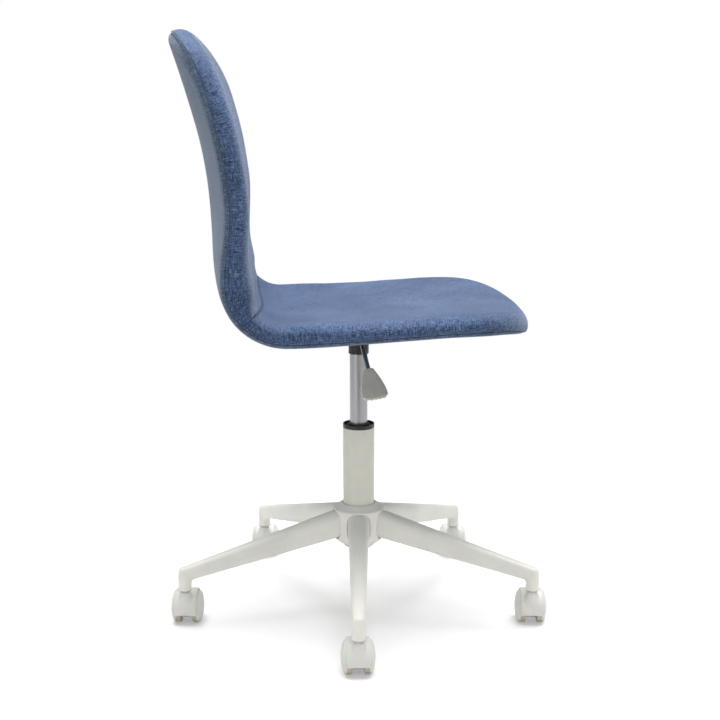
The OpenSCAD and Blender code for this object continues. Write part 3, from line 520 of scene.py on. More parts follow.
@dataclass
class SeatForm:
    """The bent and dished form that the seat and the back share.

    A point of it is given by s, the distance along its rear face from the front lip, x across, and n, the
    height over the rear face. The side profile is a chain of arcs, so its heading changes evenly along each.
    All lengths are in metres.
    """

    lengths: Array = field(default_factory=lambda: np.array([66, 90, 180, 36, 144, 56, 79, 108, 136]) * MM)
    turns: Array = field(default_factory=lambda: np.radians([-23, -4.3, 0, 2.7, 80, 10, -4, -10.4, -3.6]))
    lip: tuple[float, float, float] = (-0.254, 0.4592, math.radians(23.6))
    # Outline: half widths of its straight sides, and reach and power of its rounded ends.
    seat_half: float = 0.2075
    back_half: float = 0.220
    top_half: float = 0.181
    front_corner: float = 0.116
    top_corner: float = 0.134
    power: float = 2.34
    corner_start: float = 0.02
    # Padding: thickness, crown, and how far the sides curve up.
    seat_thick: float = 0.0322
    back_thick: float = 0.0382
    crown: float = 0.0016
    crown_reach: float = 0.06
    seat_dish: float = 0.009
    bend_dish: float = 0.012
    back_dish: float = 0.029
    dish_start: float = 0.09
    # Rounded edge of the padding: its radius at the ends, and its width and height at the sides.
    edge_r: float = 0.0255
    edge_share: float = 0.56
    edge_wide: float = 0.032
    edge_bend: float = 0.018
    edge_bend_len: float = 0.08
    side_reach: float = 0.92
    # Fuller padding where the seat bends into the back, and along the sides of the seat's rear.
    swell: float = 0.0145
    swell_at: float = 0.512
    swell_low: float = 0.047
    swell_high: float = 0.055
    rim: float = 0.0055
    rim_at: float = 0.345
    rim_len: float = 0.075
    # Edge seam: how far it lies inside the outline, and how the rear cover rolls up to it.
    tuck_side: float = 0.0056
    tuck_end: float = 0.0028
    pinch: float = 0.02
    roll_width: float = 0.015
    roll_side: float = 0.0052
    roll_top: float = 0.0085
    # Cross seam: its place, and how it sweeps back towards the sides.
    seam_past_bend: float = 0.046
    sweep_face: float = 0.0065
    sweep_edge: float = 0.0285
    sweep_len: float = 0.055
    sweep_half: float = 0.19
    sweep_power: float = 1.4
    ply: float = 0.009
    cloth_run: float = 0.85

    def __post_init__(self) -> None:
        """Walks the chain of arcs once, and keeps each joint's distance, heading and place."""
        self.at = np.concatenate([[0], np.cumsum(self.lengths)])
        self.heads = self.lip[2] + np.concatenate([[0], np.cumsum(self.turns)])
        y, z = [self.lip[0]], [self.lip[1]]
        for k in range(len(self.lengths)):
            dy, dz = self._arc(k, self.lengths[k])
            y.append(y[-1] + float(dy))
            z.append(z[-1] + float(dz))
        self.y, self.z = np.array(y), np.array(z)
        self.length = float(self.at[-1])
        self.bend, self.bend_end, self.low_end, self.waist_end = (float(v) for v in self.at[4:8])
        self.cross_seam = self.bend + self.seam_past_bend

    def _arc(self, k: Array, d: Array) -> tuple[Array, Array]:
        """Step (dy, dz) after distance d along arc k: a chord of heading h + t/2 and length d*sin(t/2)/(t/2)."""
        t = self.turns[k] * d / self.lengths[k]
        chord = d * np.sinc(t / 2 / math.pi)
        return chord * np.cos(self.heads[k] + t / 2), chord * np.sin(self.heads[k] + t / 2)

    def profile(self, s: Array) -> tuple[Array, Array, Array]:
        """Place (y, z) and heading of the rear face's middle line at s."""
        k = np.clip(np.searchsorted(self.at, s, side="left") - 1, 0, len(self.lengths) - 1)
        d = s - self.at[k]
        dy, dz = self._arc(k, d)
        return self.y[k] + dy, self.z[k] + dz, self.heads[k] + self.turns[k] * d / self.lengths[k]

    def half_width(self, s: Array) -> Array:
        """Half width of the outline's straight sides at s."""
        return ease(s, np.array([0, self.bend, self.low_end, self.waist_end, self.length]),
                    np.array([self.seat_half, self.seat_half, self.back_half, self.back_half, self.top_half]))

    def thickness(self, s: Array) -> Array:
        """Thickness over the rear face at s."""
        return ease(s, np.array([self.bend, self.low_end]), np.array([self.seat_thick, self.back_thick]))

    def dish(self, s: Array) -> Array:
        """How far the sides curve up at s."""
        mid = (self.bend + self.bend_end) / 2
        return ease(s, np.array([0, self.bend - self.dish_start, mid, self.bend_end, self.waist_end, self.length]),
                    np.repeat([self.seat_dish, self.bend_dish, self.back_dish], 2))

    def end_share(self, s: Array, inset: float) -> Array:
        """How far s lies into a rounded end: 0 at the straight sides and 1 at the very end."""
        front = 1 - (s - inset) / (self.front_corner - inset)
        top = 1 - (self.length - inset - s) / (self.top_corner - inset)
        return np.clip(np.maximum(front, top), 0, 1)

    def width(self, s: Array, inset: Array) -> Array:
        """Half width at s of the outline moved in by inset: W * (1 - e**p)**(1/p)."""
        e = self.end_share(s, inset)
        return (self.half_width(s) - inset) * np.maximum(0, 1 - e**self.power) ** (1 / self.power)

    def edge_distance(self, s: Array, x: Array, inset: float = 0.0) -> Array:
        """Distance from the outline, to first order: f / |grad f| with f = 1 - |x/W|**p - e**p."""
        w = self.half_width(s) - inset
        a, e, p = np.abs(x) / w, self.end_share(s, inset), self.power
        reach = np.where(s < self.length / 2, self.front_corner, self.top_corner) - inset
        slope = np.hypot(p / w * a ** (p - 1), p / reach * e ** (p - 1))
        return np.maximum(0, 1 - a**p - e**p) / np.maximum(slope, 1e-4)

    def rear(self, s: Array, x: Array) -> Array:
        """Height of the rear face at x over its middle line."""
        return self.dish(s) * (x / self.half_width(s)) ** 2

    def rolled(self, s: Array, x: Array) -> Array:
        """Height of the rear cover: the rear face, rolled forward near the outline, most of all at the top.

        The roll is L * (1 - sqrt(1 - q*q)), where q grows from 0 at the roll's width to 1 at the outline.
        """
        q = 1 - np.clip((self.edge_distance(s, x) - self.seam_inset(s)) / self.roll_width, 0, 1)
        top = np.clip(1 - (self.length - s) / self.top_corner, 0, 1)
        lift = self.roll_side + (self.roll_top - self.roll_side) * top * top * (3 - 2 * top)
        return self.rear(s, x) + lift * (1 - np.sqrt(np.maximum(0, 1 - q * q)))

    def side(self, s: Array) -> Array:
        """1 along the straight sides, falling smoothly to 0 in the rounded ends."""
        t = np.clip(1 - self.end_share(s, 0.0) / self.side_reach, 0, 1)
        return t * t * (3 - 2 * t)

    def seam_inset(self, s: Array) -> Array:
        """How far the edge seam lies inside the outline at s: the padding bulges over it, most at the sides."""
        inset = self.tuck_end + (self.tuck_side - self.tuck_end) * self.side(s)
        return inset * np.minimum(1, self.width(s, 0.0) / self.pinch)

    def front(self, s: Array, x: Array) -> Array:
        """Height of the padded face: a rounded edge that runs up to a low crown.

        The edge is a quarter of an ellipse, w wide and h high. Along the sides, where the padding bulges like a
        pillow, w is edge_wide and h a share of the thickness. At the rounded ends both are edge_r. The padding
        swells by up to swell * exp(-((s - swell_at)/length)**2) where the seat bends up into the back, and its
        sides rise by up to rim * exp(-((s - rim_at)/rim_len)**2) over the rear of the seat.
        """
        out = (x / self.half_width(s)) ** 2
        rise = self.crown * (1 - out) * np.minimum(1, self.edge_distance(s, x) / self.crown_reach)
        length = np.where(s < self.swell_at, self.swell_low, self.swell_high)
        swell = self.swell * (0.5 + 0.5 * out) * np.exp(-(((s - self.swell_at) / length) ** 2))
        swell += self.rim * out * np.exp(-(((s - self.rim_at) / self.rim_len) ** 2))
        return self.rear(s, x) + self.thickness(s) - self.fall(s, x) + rise + swell

    def fall(self, s: Array, x: Array) -> Array:
        """How far the padded face falls away at x over its rounded edge: h * (1 - sqrt(1 - q*q))."""
        wide = self.edge_r + (self.edge_wide - self.edge_r) * self.side(s)
        wide = wide + self.edge_bend * np.exp(-(((s - self.swell_at) / self.edge_bend_len) ** 2))
        q = np.clip(1 - self.edge_distance(s, x) / wide, 0, 1)
        high = self.edge_r + (self.edge_share * self.thickness(s) - self.edge_r) * self.side(s)
        return high * (1 - np.sqrt(1 - q * q))

    def cloth(self, s: Array, x: Array, extra: Array | float = 0.0) -> Array:
        """Cloth map: the place (s, x) moved outwards by the fall, so that the weave runs evenly over the edge.

        Args:
            s: distance along the form.
            x: distance across it.
            extra: distance that the cloth has run on past the outline.
        """
        s, x = np.broadcast_arrays(s, x)
        w, e, p = self.half_width(s), self.end_share(s, 0.0), self.power
        reach = np.where(s < self.length / 2, -self.front_corner, self.top_corner)
        out = np.stack([p / reach * e ** (p - 1), np.sign(x) * p / w * (np.abs(x) / w) ** (p - 1)], -1)
        out /= np.maximum(np.linalg.norm(out, axis=-1, keepdims=True), 1e-3)
        return np.stack([s, x], -1) + out * (self.cloth_run * self.fall(s, x) + extra)[..., None]

    def place(self, s: Array, x: Array, n: Array) -> Array:
        """Points of given s, x and n in metres."""
        s, x, n = np.broadcast_arrays(s, x, n)
        y, z, h = self.profile(s)
        return np.stack([x, y - np.sin(h) * n, z + np.cos(h) * n], -1)

    def sweep(self, s: Array, x: Array) -> Array:
        """Moves s near the cross seam, so that the seam sweeps back over the padded edge.

        The shift is (c + e * (|x|/half)**power) * exp(-((s - seam)/w)**2).
        """
        reach = self.sweep_face + self.sweep_edge * np.minimum(1.1, np.abs(x) / self.sweep_half) ** self.sweep_power
        return s + reach * np.exp(-(((s - self.cross_seam) / self.sweep_len) ** 2))

    def corner(self, steps: int, reach: float, inset: float) -> Array:
        """Distances from the end for rows of a rounded corner: reach * (1 - cos(t)**(2/p)), fine at the end."""
        t = np.linspace(self.corner_start, math.pi / 2, steps, endpoint=False)
        return inset + (reach - inset) * (1 - np.cos(t) ** (2 / self.power))


@dataclass
class Upholstery:
    """Seat pad, back pad and rear cover, with their seams and stitches. All lengths are in metres."""

    form: SeatForm = field(default_factory=SeatForm)
    fabric: float = 0.0012
    gap: float = 0.0003
    # Grids.
    columns: int = 110
    corner_rows: int = 44
    row_step: float = 0.0032
    seam_row: float = 0.0006
    seam_clear: float = 0.0065
    # Cross seam: a fine valley in a shallow hollow, and the puckers beside it.
    valley_deep: float = 0.0026
    valley_wide: float = 0.0021
    hollow_deep: float = 0.0012
    hollow_wide: float = 0.012
    pucker_deep: float = 0.00028
    pucker_wide: float = 0.011
    # Edge seam: the border's tuck, the padding's step over the plywood, and the rear cover's rim.
    tuck_turn: float = 0.96
    under_from: float = 0.0012
    under_step: float = 0.006
    rim_over: float = 0.0004
    rim_proud: float = 0.0006
    rim_bulge: float = 0.0010
    # Stitches.
    stitch: float = 0.0042
    stitch_r: float = 0.00042
    stitch_arch: float = 0.00016
    stitch_sink: float = 0.0002
    seam_to_stitch: float = 0.0030
    edge_stitch_share: float = 0.72

    def rows(self, low: float, high: float) -> Array:
        """Distances s of a grid's rows from low to high, fine at the rounded ends and at a seam."""
        f = self.form
        front = f.corner(self.corner_rows, f.front_corner, 0.0)
        top = f.length - f.corner(self.corner_rows, f.top_corner, 0.0)[::-1]
        count = int((f.length - f.front_corner - f.top_corner) / self.row_step)
        middle = np.linspace(f.front_corner, f.length - f.top_corner, count)
        s = np.concatenate([front, middle, top])
        near = self.seam_row * np.array([0, 1, 2.2, 3.8, 6, 9])
        start, stop = low + self.seam_clear, high - self.seam_clear
        head = low + near if low > f.front_corner else s[s <= start]
        tail = high - near[::-1] if high < f.length - f.top_corner else s[s >= stop]
        return np.unique(np.round(np.concatenate([head, s[(s > start) & (s < stop)], tail]), 7))

    def across(self) -> Array:
        """Shares of the half width at which columns stand, closer together towards the sides."""
        t = np.linspace(-1, 1, self.columns + 1)
        return np.sign(t) * (1 - (1 - np.abs(t)) ** 2.0)

    def seam_dip(self, s: Array, x: Array) -> Array:
        """How far the padding is drawn down at the cross seam: a fine valley with puckers, deeper at its ends."""
        d = np.abs(s - self.form.cross_seam)
        share = 0.35 + 0.65 * np.minimum(1, np.abs(x) / 0.2) ** 2
        valley = self.valley_deep * np.exp(-((d / self.valley_wide) ** 1.2))
        hollow = self.hollow_deep * np.exp(-((d / self.hollow_wide) ** 2))
        pucker = np.sin(x * 430 + 1.7 * np.sin(x * 61)) * np.exp(-((d / self.pucker_wide) ** 2))
        return (valley + hollow) * share + self.pucker_deep * pucker

    def softness(self, s: Array, x: Array) -> Array:
        """Slow unevenness of hand-pulled covers: a sum of three long waves, under 0.5 mm."""
        wave = np.sin(s * 31 + 2.1 * np.sin(x * 11)) + 0.7 * np.sin(x * 37 + 1.3 * np.sin(s * 17))
        edge = np.sin(s * 96 + x * 40) * np.exp(-((self.form.edge_distance(s, x) - 0.018) / 0.012) ** 2)
        return 0.00022 * wave + 0.00016 * edge

    def border(self, s: Array, v: Array, top_n: Array) -> tuple[Array, Array]:
        """Half width and height of the border at share v of its way down from the outline to the edge seam.

        It tucks in on a quarter of an ellipse, i * (1 - sqrt(1 - (t*v)**2)) / (1 - sqrt(1 - t*t)), to the
        seam's inset i.
        """
        f = self.form
        wide = f.width(s, 0.0)
        inset = f.seam_inset(s)
        low_n = f.rolled(s, wide - inset) + self.fabric + self.gap
        return wide - inset * (1 - np.sqrt(1 - (self.tuck_turn * v) ** 2)) / 0.72, top_n * (1 - v) + low_n * v

    def pad(self, name: str, low: float, high: float, materials: list[Material]) -> Object:
        """One pad: padded face, border down to the edge seam, and the underside that lies on the plywood.

        The face is place(s, x, front - seam_dip + softness) on a grid of rows and columns.

        Args:
            name: the piece's name.
            low: distance s at which the pad starts.
            high: distance s at which it ends.
            materials: its cloth, and a darker cloth without sheen that paints the shade down in the crease of the
                cross seam.

        Returns:
            The pad.
        """
        f = self.form
        s = self.rows(low, high)[:, None]
        c = self.across()[None, :]
        x = c * f.width(s, 0.0)
        face_s = f.sweep(s, x)
        face_n = f.front(face_s, x) - self.seam_dip(s, x) + self.softness(s, x)
        face = f.place(face_s, x, face_n)
        v = np.sin(np.linspace(0, math.pi / 2, 13))[:, None]
        loops = []
        for column, side in ((0, -1), (-1, 1)):
            at = np.clip(face_s[:, column][None, :] + 0 * v, 0, f.length)
            wide, border_n = self.border(at, v, face_n[:, column][None, :])
            loops.append(Patch(f.place(at, side * wide, border_n),
                               f.cloth(at, side * f.width(at, 0.0) * 0.9999, v * 0.010)))
        end_s = np.clip(face_s[:, :1], 0, f.length)
        under_x = c * (f.width(end_s, 0.0) - f.seam_inset(end_s))
        inside = f.edge_distance(s, under_x) - f.seam_inset(s) - self.under_from
        share = np.clip(inside / self.under_step, 0, 1)
        under_n = f.rolled(face_s, under_x) + self.fabric + self.gap + (f.ply + self.gap) * share
        under = f.place(face_s, under_x, under_n)
        for column, loop in ((0, loops[0]), (-1, loops[1])):
            under[:, column], face[:, column] = loop.points[-1], loop.points[0]
        cloth = f.cloth(face_s, x)
        front_end = low < f.front_corner
        # The rows next to the cross seam take slot 1, the cloth painted with the shade of the seam's crease.
        painted_fold_shade = slice(-2, None) if front_end else slice(0, 2)
        rest = slice(0, -1) if front_end else slice(1, None)
        patches = [Patch(face[rest], cloth[rest]), Patch(face[painted_fold_shade], cloth[painted_fold_shade], slot=1), *loops,
                   Patch(under, np.stack([face_s, under_x], -1))]
        for end in (0, -1):
            strip, ss, xs = self.end_strip(face_s[end], (x[end], under_x[end]), (face_n[end], under_n[end]), v,
                                           [loop.points[:, end] for loop in loops])
            # The end strip at the cross seam takes the painted shade too.
            at_seam = (end == -1) == front_end
            patches.append(Patch(strip, np.stack([ss + v * 0.006, xs], -1), slot=int(at_seam)))
        return build_piece(name, patches, "seat", materials, merge=2e-6)

    def end_strip(self, s: Array, x: tuple[Array, Array], n: tuple[Array, Array], v: Array,
                  sides: list[Array]) -> tuple[Array, Array, Array]:
        """Strip that closes an end between two rows of points, from v = 0 to v = 1.

        Args:
            s: distance s of each column.
            x: offsets across of the first row and of the last.
            n: heights of the first row and of the last.
            v: share of the way of each row, as a column.
            sides: points that the strip shares with its neighbours on the left and on the right.

        Returns:
            The strip's points, and its s and x.
        """
        ss, xs = s + 0 * v, x[0] * (1 - v) + x[1] * v
        strip = self.form.place(ss, xs, n[0] * (1 - v) + n[1] * v)
        strip[:, 0], strip[:, -1] = sides
        return strip, ss, xs

    def rear_cover(self, material: Material) -> Object:
        """The cover of the rear and the underside, drawn over the plywood, with a lip up to the edge seam."""
        f = self.form
        s = self.rows(0.0, f.length)[:, None]
        c = self.across()[None, :]
        w = f.width(s, 0.0)
        inset = f.seam_inset(s)
        out_x = c * np.maximum(w - inset + self.rim_over, w * 0.5)
        out_n = f.rolled(s, out_x) - self.rim_proud * np.minimum(1, f.edge_distance(s, out_x) / 0.006)
        in_x = c * np.maximum(w - inset, w * 0.6)
        in_n = f.rolled(s, in_x) + self.fabric
        v = np.linspace(0, 1, 9)[:, None]
        patches = [Patch(f.place(s, xs, ns), np.stack(np.broadcast_arrays(s, xs), -1))
                   for xs, ns in ((out_x, out_n), (in_x, in_n))]
        rims = []
        for column, side in ((0, -1), (-1, 1)):
            bulge = side * self.rim_bulge * np.sin(math.pi * v) * np.minimum(1, w[:, 0] / f.pinch)
            xs = out_x[:, column] * (1 - v) + in_x[:, column] * v + bulge
            ns = out_n[:, column] * (1 - v) + in_n[:, column] * v
            along = s[:, 0] + 0 * v
            rims.append(Patch(f.place(along, xs, ns), np.stack([along, xs + side * v * 0.003], -1)))
        patches += rims
        for end in (0, -1):
            strip, ss, xs = self.end_strip(s[end] + 0 * c[0], (out_x[end], in_x[end]), (out_n[end], in_n[end]), v,
                                           [rim.points[:, end] for rim in rims])
            patches.append(Patch(strip, np.stack([ss, xs], -1)))
        return build_piece("rear_cover", patches, "seat", [material], merge=2e-6)

    def outline_path(self, inset: float, share: float) -> Array:
        """Points round the whole outline: on the border at that share of its way down, or within it by an inset.

        Args:
            inset: distance from the edge seam towards the middle of the rear cover, or 0 for the border.
            share: share of the border's way down from the outline to the edge seam.

        Returns:
            Array of (count, 3) points, closed.
        """
        f = self.form
        front = f.corner(90, f.front_corner, 0.0)
        top = f.length - f.corner(90, f.top_corner, 0.0)[::-1]
        s = np.concatenate([front, np.linspace(f.front_corner, f.length - f.top_corner, 240), top])
        if inset:
            x = np.maximum(f.width(s, 0.0) - f.seam_inset(s) - inset, 0)
            n = f.rolled(s, x) - self.rim_over
        else:
            x, n = self.border(s, np.full_like(s, share), f.front(s, f.width(s, 0.0)))
        right, left = f.place(s, x, n), f.place(s, -x, n)
        return np.vstack([right, left[::-1], right[:1]])

    def stitches(self, name: str, path: Array, outward: Array, material: Material) -> Object:
        """A row of stitches along a path: each is a short grain, arched by a * (1 - t*t), on a six-sided section.

        Args:
            name: the piece's name.
            path: points along the row.
            outward: for each point of the path, the direction that the cloth faces.
            material: the thread.

        Returns:
            The row as one piece.
        """
        step = np.linalg.norm(np.diff(path, axis=0), axis=1)
        run = np.concatenate([[0], np.cumsum(step)])
        count = max(2, int(run[-1] / self.stitch))
        mids = (np.arange(count) + 0.5) * run[-1] / count
        t = np.linspace(-1, 1, 5)
        where = mids[:, None] + t[None, :] * self.stitch * 0.40
        line, up = (np.stack([np.interp(where, run, of[:, k]) for k in range(3)], -1) for of in (path, outward))
        up /= np.linalg.norm(up, axis=-1, keepdims=True)
        along = np.gradient(line, axis=1)
        along /= np.linalg.norm(along, axis=-1, keepdims=True)
        side = np.cross(along, up)
        line = line + up * (self.stitch_arch * (1 - t**2) - self.stitch_sink)[None, :, None]
        a = circle(6)[:, None]
        r = (self.stitch_r * np.sqrt(np.maximum(0.05, 1 - t**4)))[None, :, None, None]
        ring = line[:, :, None] + r * (np.cos(a) * side[:, :, None] + np.sin(a) * up[:, :, None])
        n, m, k = ring.shape[:3]
        ids = np.arange(n * m * k).reshape(n, m, k)
        nxt = np.roll(ids, -1, 2)
        quads = np.stack([ids[:, :-1], nxt[:, :-1], nxt[:, 1:], ids[:, 1:]], -1).reshape(-1, 4)
        caps = np.vstack([ids[:, 0, ::-1], ids[:, -1]])
        mesh = bpy.data.meshes.new(name)
        mesh.from_pydata(ring.reshape(-1, 3).tolist(), [], quads.tolist() + caps.tolist())
        mesh.polygons.foreach_set("use_smooth", np.ones(len(mesh.polygons), bool))
        with editing(mesh) as work:
            bmesh.ops.recalc_face_normals(work, faces=work.faces)
        mesh.materials.append(material)
        piece = put(name, mesh)
        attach(piece, "seat")
        log.info("%s: %d stitches", name, count)
        return piece

    def cross_stitches(self, thread: Material) -> None:
        """A row of stitches on each side of the cross seam, lying on the padded face."""
        f = self.form
        for sign, tag in ((-1, "seat"), (1, "back")):
            x = np.linspace(-1, 1, 260) * (f.half_width(np.array(f.cross_seam)) - 0.001)
            row = np.full_like(x, f.cross_seam + sign * self.seam_to_stitch)
            s = f.sweep(row, x)
            lift = f.front(s, x) - self.seam_dip(row, x) + self.softness(row, x)
            path = f.place(s, x, lift)
            up = f.place(s, x, lift + 0.01) - path
            up[:, 0] += np.sign(x) * 0.01 * np.clip((np.abs(x) - 0.19) / 0.02, 0, 1)
            self.stitches(f"cross_stitch_{tag}", path, up, thread)

    def build(self, cloth: Material, rear: Material, painted_fold_shade: Material,
              thread: Material) -> None:
        """Builds the pads, the rear cover and the stitch rows."""
        f = self.form
        seam = self.gap / 2
        seat = self.pad("seat_pad", 0.0, f.cross_seam - seam, [cloth, painted_fold_shade])
        back = self.pad("back_pad", f.cross_seam + seam, f.length, [cloth, painted_fold_shade])
        for piece, nodes in ((seat, ("cover_seat", "foam")), (back, ("cover_back",))):
            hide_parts(*nodes)
        cover = self.rear_cover(rear)
        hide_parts("cover_outer")
        self.cross_stitches(thread)
        centre = self.outline_path(0.03, 1.0)
        for name, path in (("edge_stitch", self.outline_path(0.0, self.edge_stitch_share)),
                           ("rear_stitch", self.outline_path(self.seam_to_stitch, 1.0))):
            self.stitches(name, path, path - centre, thread)


# ---------------------------------------------------------------- base


@dataclass
class LegForm:
    """A hollow-looking cast leg: an oval tube that falls and narrows outwards, with an elbow into an upright tube.

    Lengths are in millimetres in the leg's own frame: x outwards from the swivel axis, y across, z up. The
    surface is where a field of blended tubes is zero, found along rays from the centre line.
    """

    number: int
    azimuth: float
    root: float = 29.0
    end: float = 286.0
    root_half: tuple[float, float] = (18.1, 23.0)
    end_half: tuple[float, float] = (10.5, 11.9)
    end_r: float = 10.4
    hub_z: float = 141.9
    hub_x: float = 40.0
    fall: float = 0.2313
    bottom: float = 60.2
    power: float = 2.5
    end_blend: float = 4.0
    elbow_blend: float = 4.5
    elbow_from: float = 1.0
    elbow_run: float = 7.0
    sharp_blend: float = 0.02
    post_top: float = 84.0
    ray_far: float = 40.0

    def half_sizes(self, x: Array) -> tuple[Array, Array]:
        """Half width and half height of the oval at x: both narrow evenly from the hub to the outer end."""
        t = np.clip((x - self.root) / (self.end - self.root), 0, 1.05)
        wide, high = ((a + (b - a) * t) for a, b in zip(self.root_half, self.end_half))
        return wide, high

    def axis_z(self, x: Array) -> Array:
        """Height of the centre line at x."""
        return self.hub_z - self.fall * (x - self.hub_x)

    def tube(self, p: Array) -> Array:
        """Field of the falling oval tube: (|y/a|**p + |z/b|**p)**(1/p) - 1, scaled to millimetres."""
        a, b = self.half_sizes(p[..., 0])
        y, z = np.abs(p[..., 1]) / a, np.abs(p[..., 2] - self.axis_z(p[..., 0])) / b
        return ((y**self.power + z**self.power) ** (1 / self.power) - 1) * np.minimum(a, b)

    def solid(self, p: Array) -> Array:
        """Field of the whole leg: the tube cut round at its end, blended into the upright."""
        x, y, z = p[..., 0], p[..., 1], p[..., 2]
        squeeze = self.end_r / self.end_half[0]
        nose = np.hypot(np.maximum(x - self.end, 0), y * squeeze) - self.half_sizes(x)[0] * squeeze
        bar = smooth_max(self.tube(p), nose, self.end_blend)
        post = np.maximum(np.hypot(x - self.end, y) - self.end_r, z - self.post_top)
        share = np.clip((self.end - self.elbow_from - x) / self.elbow_run, 0, 1)
        return smooth_min(bar, post, self.sharp_blend + self.elbow_blend * share)

    def surface(self) -> Array:
        """Grid of the leg's surface in millimetres: sections along the tube, fanned round the elbow, then down."""
        corner_x = self.end - self.end_r - 1.0
        corner_z = float(self.axis_z(np.array(corner_x))) - self.end_half[1] - 1.0
        xs = np.linspace(self.root, corner_x - 2.5, 70)
        turn = np.linspace(0, math.pi / 2, 26)
        drop = np.linspace(corner_z - 0.3, self.bottom, 12)
        origin = np.concatenate([
            np.stack([xs, self.axis_z(xs)], -1),
            np.stack([corner_x + (self.end - corner_x) * np.sin(turn),
                      corner_z + (self.end_half[1] + 1.0) * np.cos(turn)], -1),
            np.stack([np.full_like(drop, self.end), drop], -1)])
        lean = np.concatenate([0 * xs, turn, np.full_like(drop, math.pi / 2)])
        up = np.stack([np.sin(lean), np.cos(lean)], -1)
        a = circle(56)
        ray = np.stack([up[:, None, 0] * np.cos(a), np.sin(a) + 0 * up[:, None, 0], up[:, None, 1] * np.cos(a)], -1)
        start = np.stack([origin[:, 0], 0 * origin[:, 0], origin[:, 1]], -1)[:, None, :] + 0 * ray
        return start + ray * ray_radius(self.solid, start, ray, self.ray_far)[..., None]

    def build(self, paint: Material) -> Object:
        """Builds the leg and closes both of its ends."""
        grid = self.surface()
        inner = np.array([self.root, 0, float(self.axis_z(np.array(self.root)))])
        outer = np.array([self.end, 0, self.bottom])
        grids = [grid, cap(grid[0], inner, 0.2), cap(grid[-1], outer, 0.2)]
        patches = [Patch(self.place(points), wrap=True) for points in grids]
        piece = build_piece(f"leg_tube_{self.number}", patches, "base", [paint])
        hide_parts(f"leg_{self.number}")
        crisp(piece, 50)
        return piece

    def place(self, p: Array) -> Array:
        """Turns points of the leg's frame about the swivel axis and gives them in metres."""
        return np.stack([*rotated(p[..., 0], p[..., 1], self.azimuth), p[..., 2]], -1) * MM

    def section_distance(self, y: Array, z: Array, x: float) -> Array:
        """Signed distance outside the oval section at x of points (y, z)."""
        return self.tube(np.stack([np.full_like(y, x), y, z], -1))


@dataclass
class HubForm:
    """Die-cast hub: a bell of revolution whose skirt opens in an arch with a fine gap round each leg.

    Lengths are in millimetres. Distances of the groove and of the lip are from the leg's section.
    """

    legs: list[LegForm]
    sides: int = 500
    skirt: tuple[float, float] = (108.0, 166.0)
    groove_deep: float = 5.0
    groove_from: float = 0.2
    groove_wide: float = 1.1
    lip: float = 0.9
    lip_at: float = 2.4
    lip_wide: float = 1.5
    lip_from: float = 0.9
    lip_top: float = 160.0
    profile: list[tuple[float, float]] = field(default_factory=lambda: [
        (25.3, 174.2), (26.0, 175.3), (27.3, 175.5), (28.6, 174.9), (31.6, 172.8), (36.0, 170.0), (39.2, 168.3),
        (40.8, 166.8), (41.1, 164.8), (40.9, 160.0), (40.6, 150.0), (40.3, 140.0), (40.1, 130.0), (39.5, 122.0),
        (37.2, 116.0), (32.0, 111.4), (27.5, 108.6), (25.4, 107.6), (24.4, 107.5)])

    def build(self, paint: Material) -> Object:
        """Builds the hub: the bell's radius less a groove and plus a lip, which follow each leg's section."""
        curve = through(self.profile, 9)
        turn = circle(self.sides)
        r = curve[:, :1] + 0 * turn
        z = curve[:, 1:] + 0 * turn
        low, high = self.skirt
        for leg in self.legs:
            off = (turn - leg.azimuth + math.pi) % (2 * math.pi) - math.pi
            d = leg.section_distance(r * np.sin(off), z, leg.hub_x)
            groove = self.groove_deep * (1 - np.clip((d - self.groove_from) / self.groove_wide, 0, 1) ** 2) ** 0.5
            lip = self.lip * np.exp(-(((d - self.lip_at) / self.lip_wide) ** 2)) * (z < self.lip_top)
            near = (np.cos(off) > 0.3) & (z < high) & (z > low)
            r = np.where(near, r - groove + lip * (d >= self.lip_from), r)
        bore = np.array([[24.4, 107.5], [24.4, 140.0], [25.3, 174.2]]) * MM
        patches = [Patch(revolve(r, z) * MM, wrap=True),
                   Patch(revolve(bore[:, :1] + 0 * turn, bore[:, 1:] + 0 * turn), wrap=True)]
        piece = build_piece("hub_bell", patches, "base", [paint])
        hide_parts("hub")
        crisp(piece, 55)
        return piece


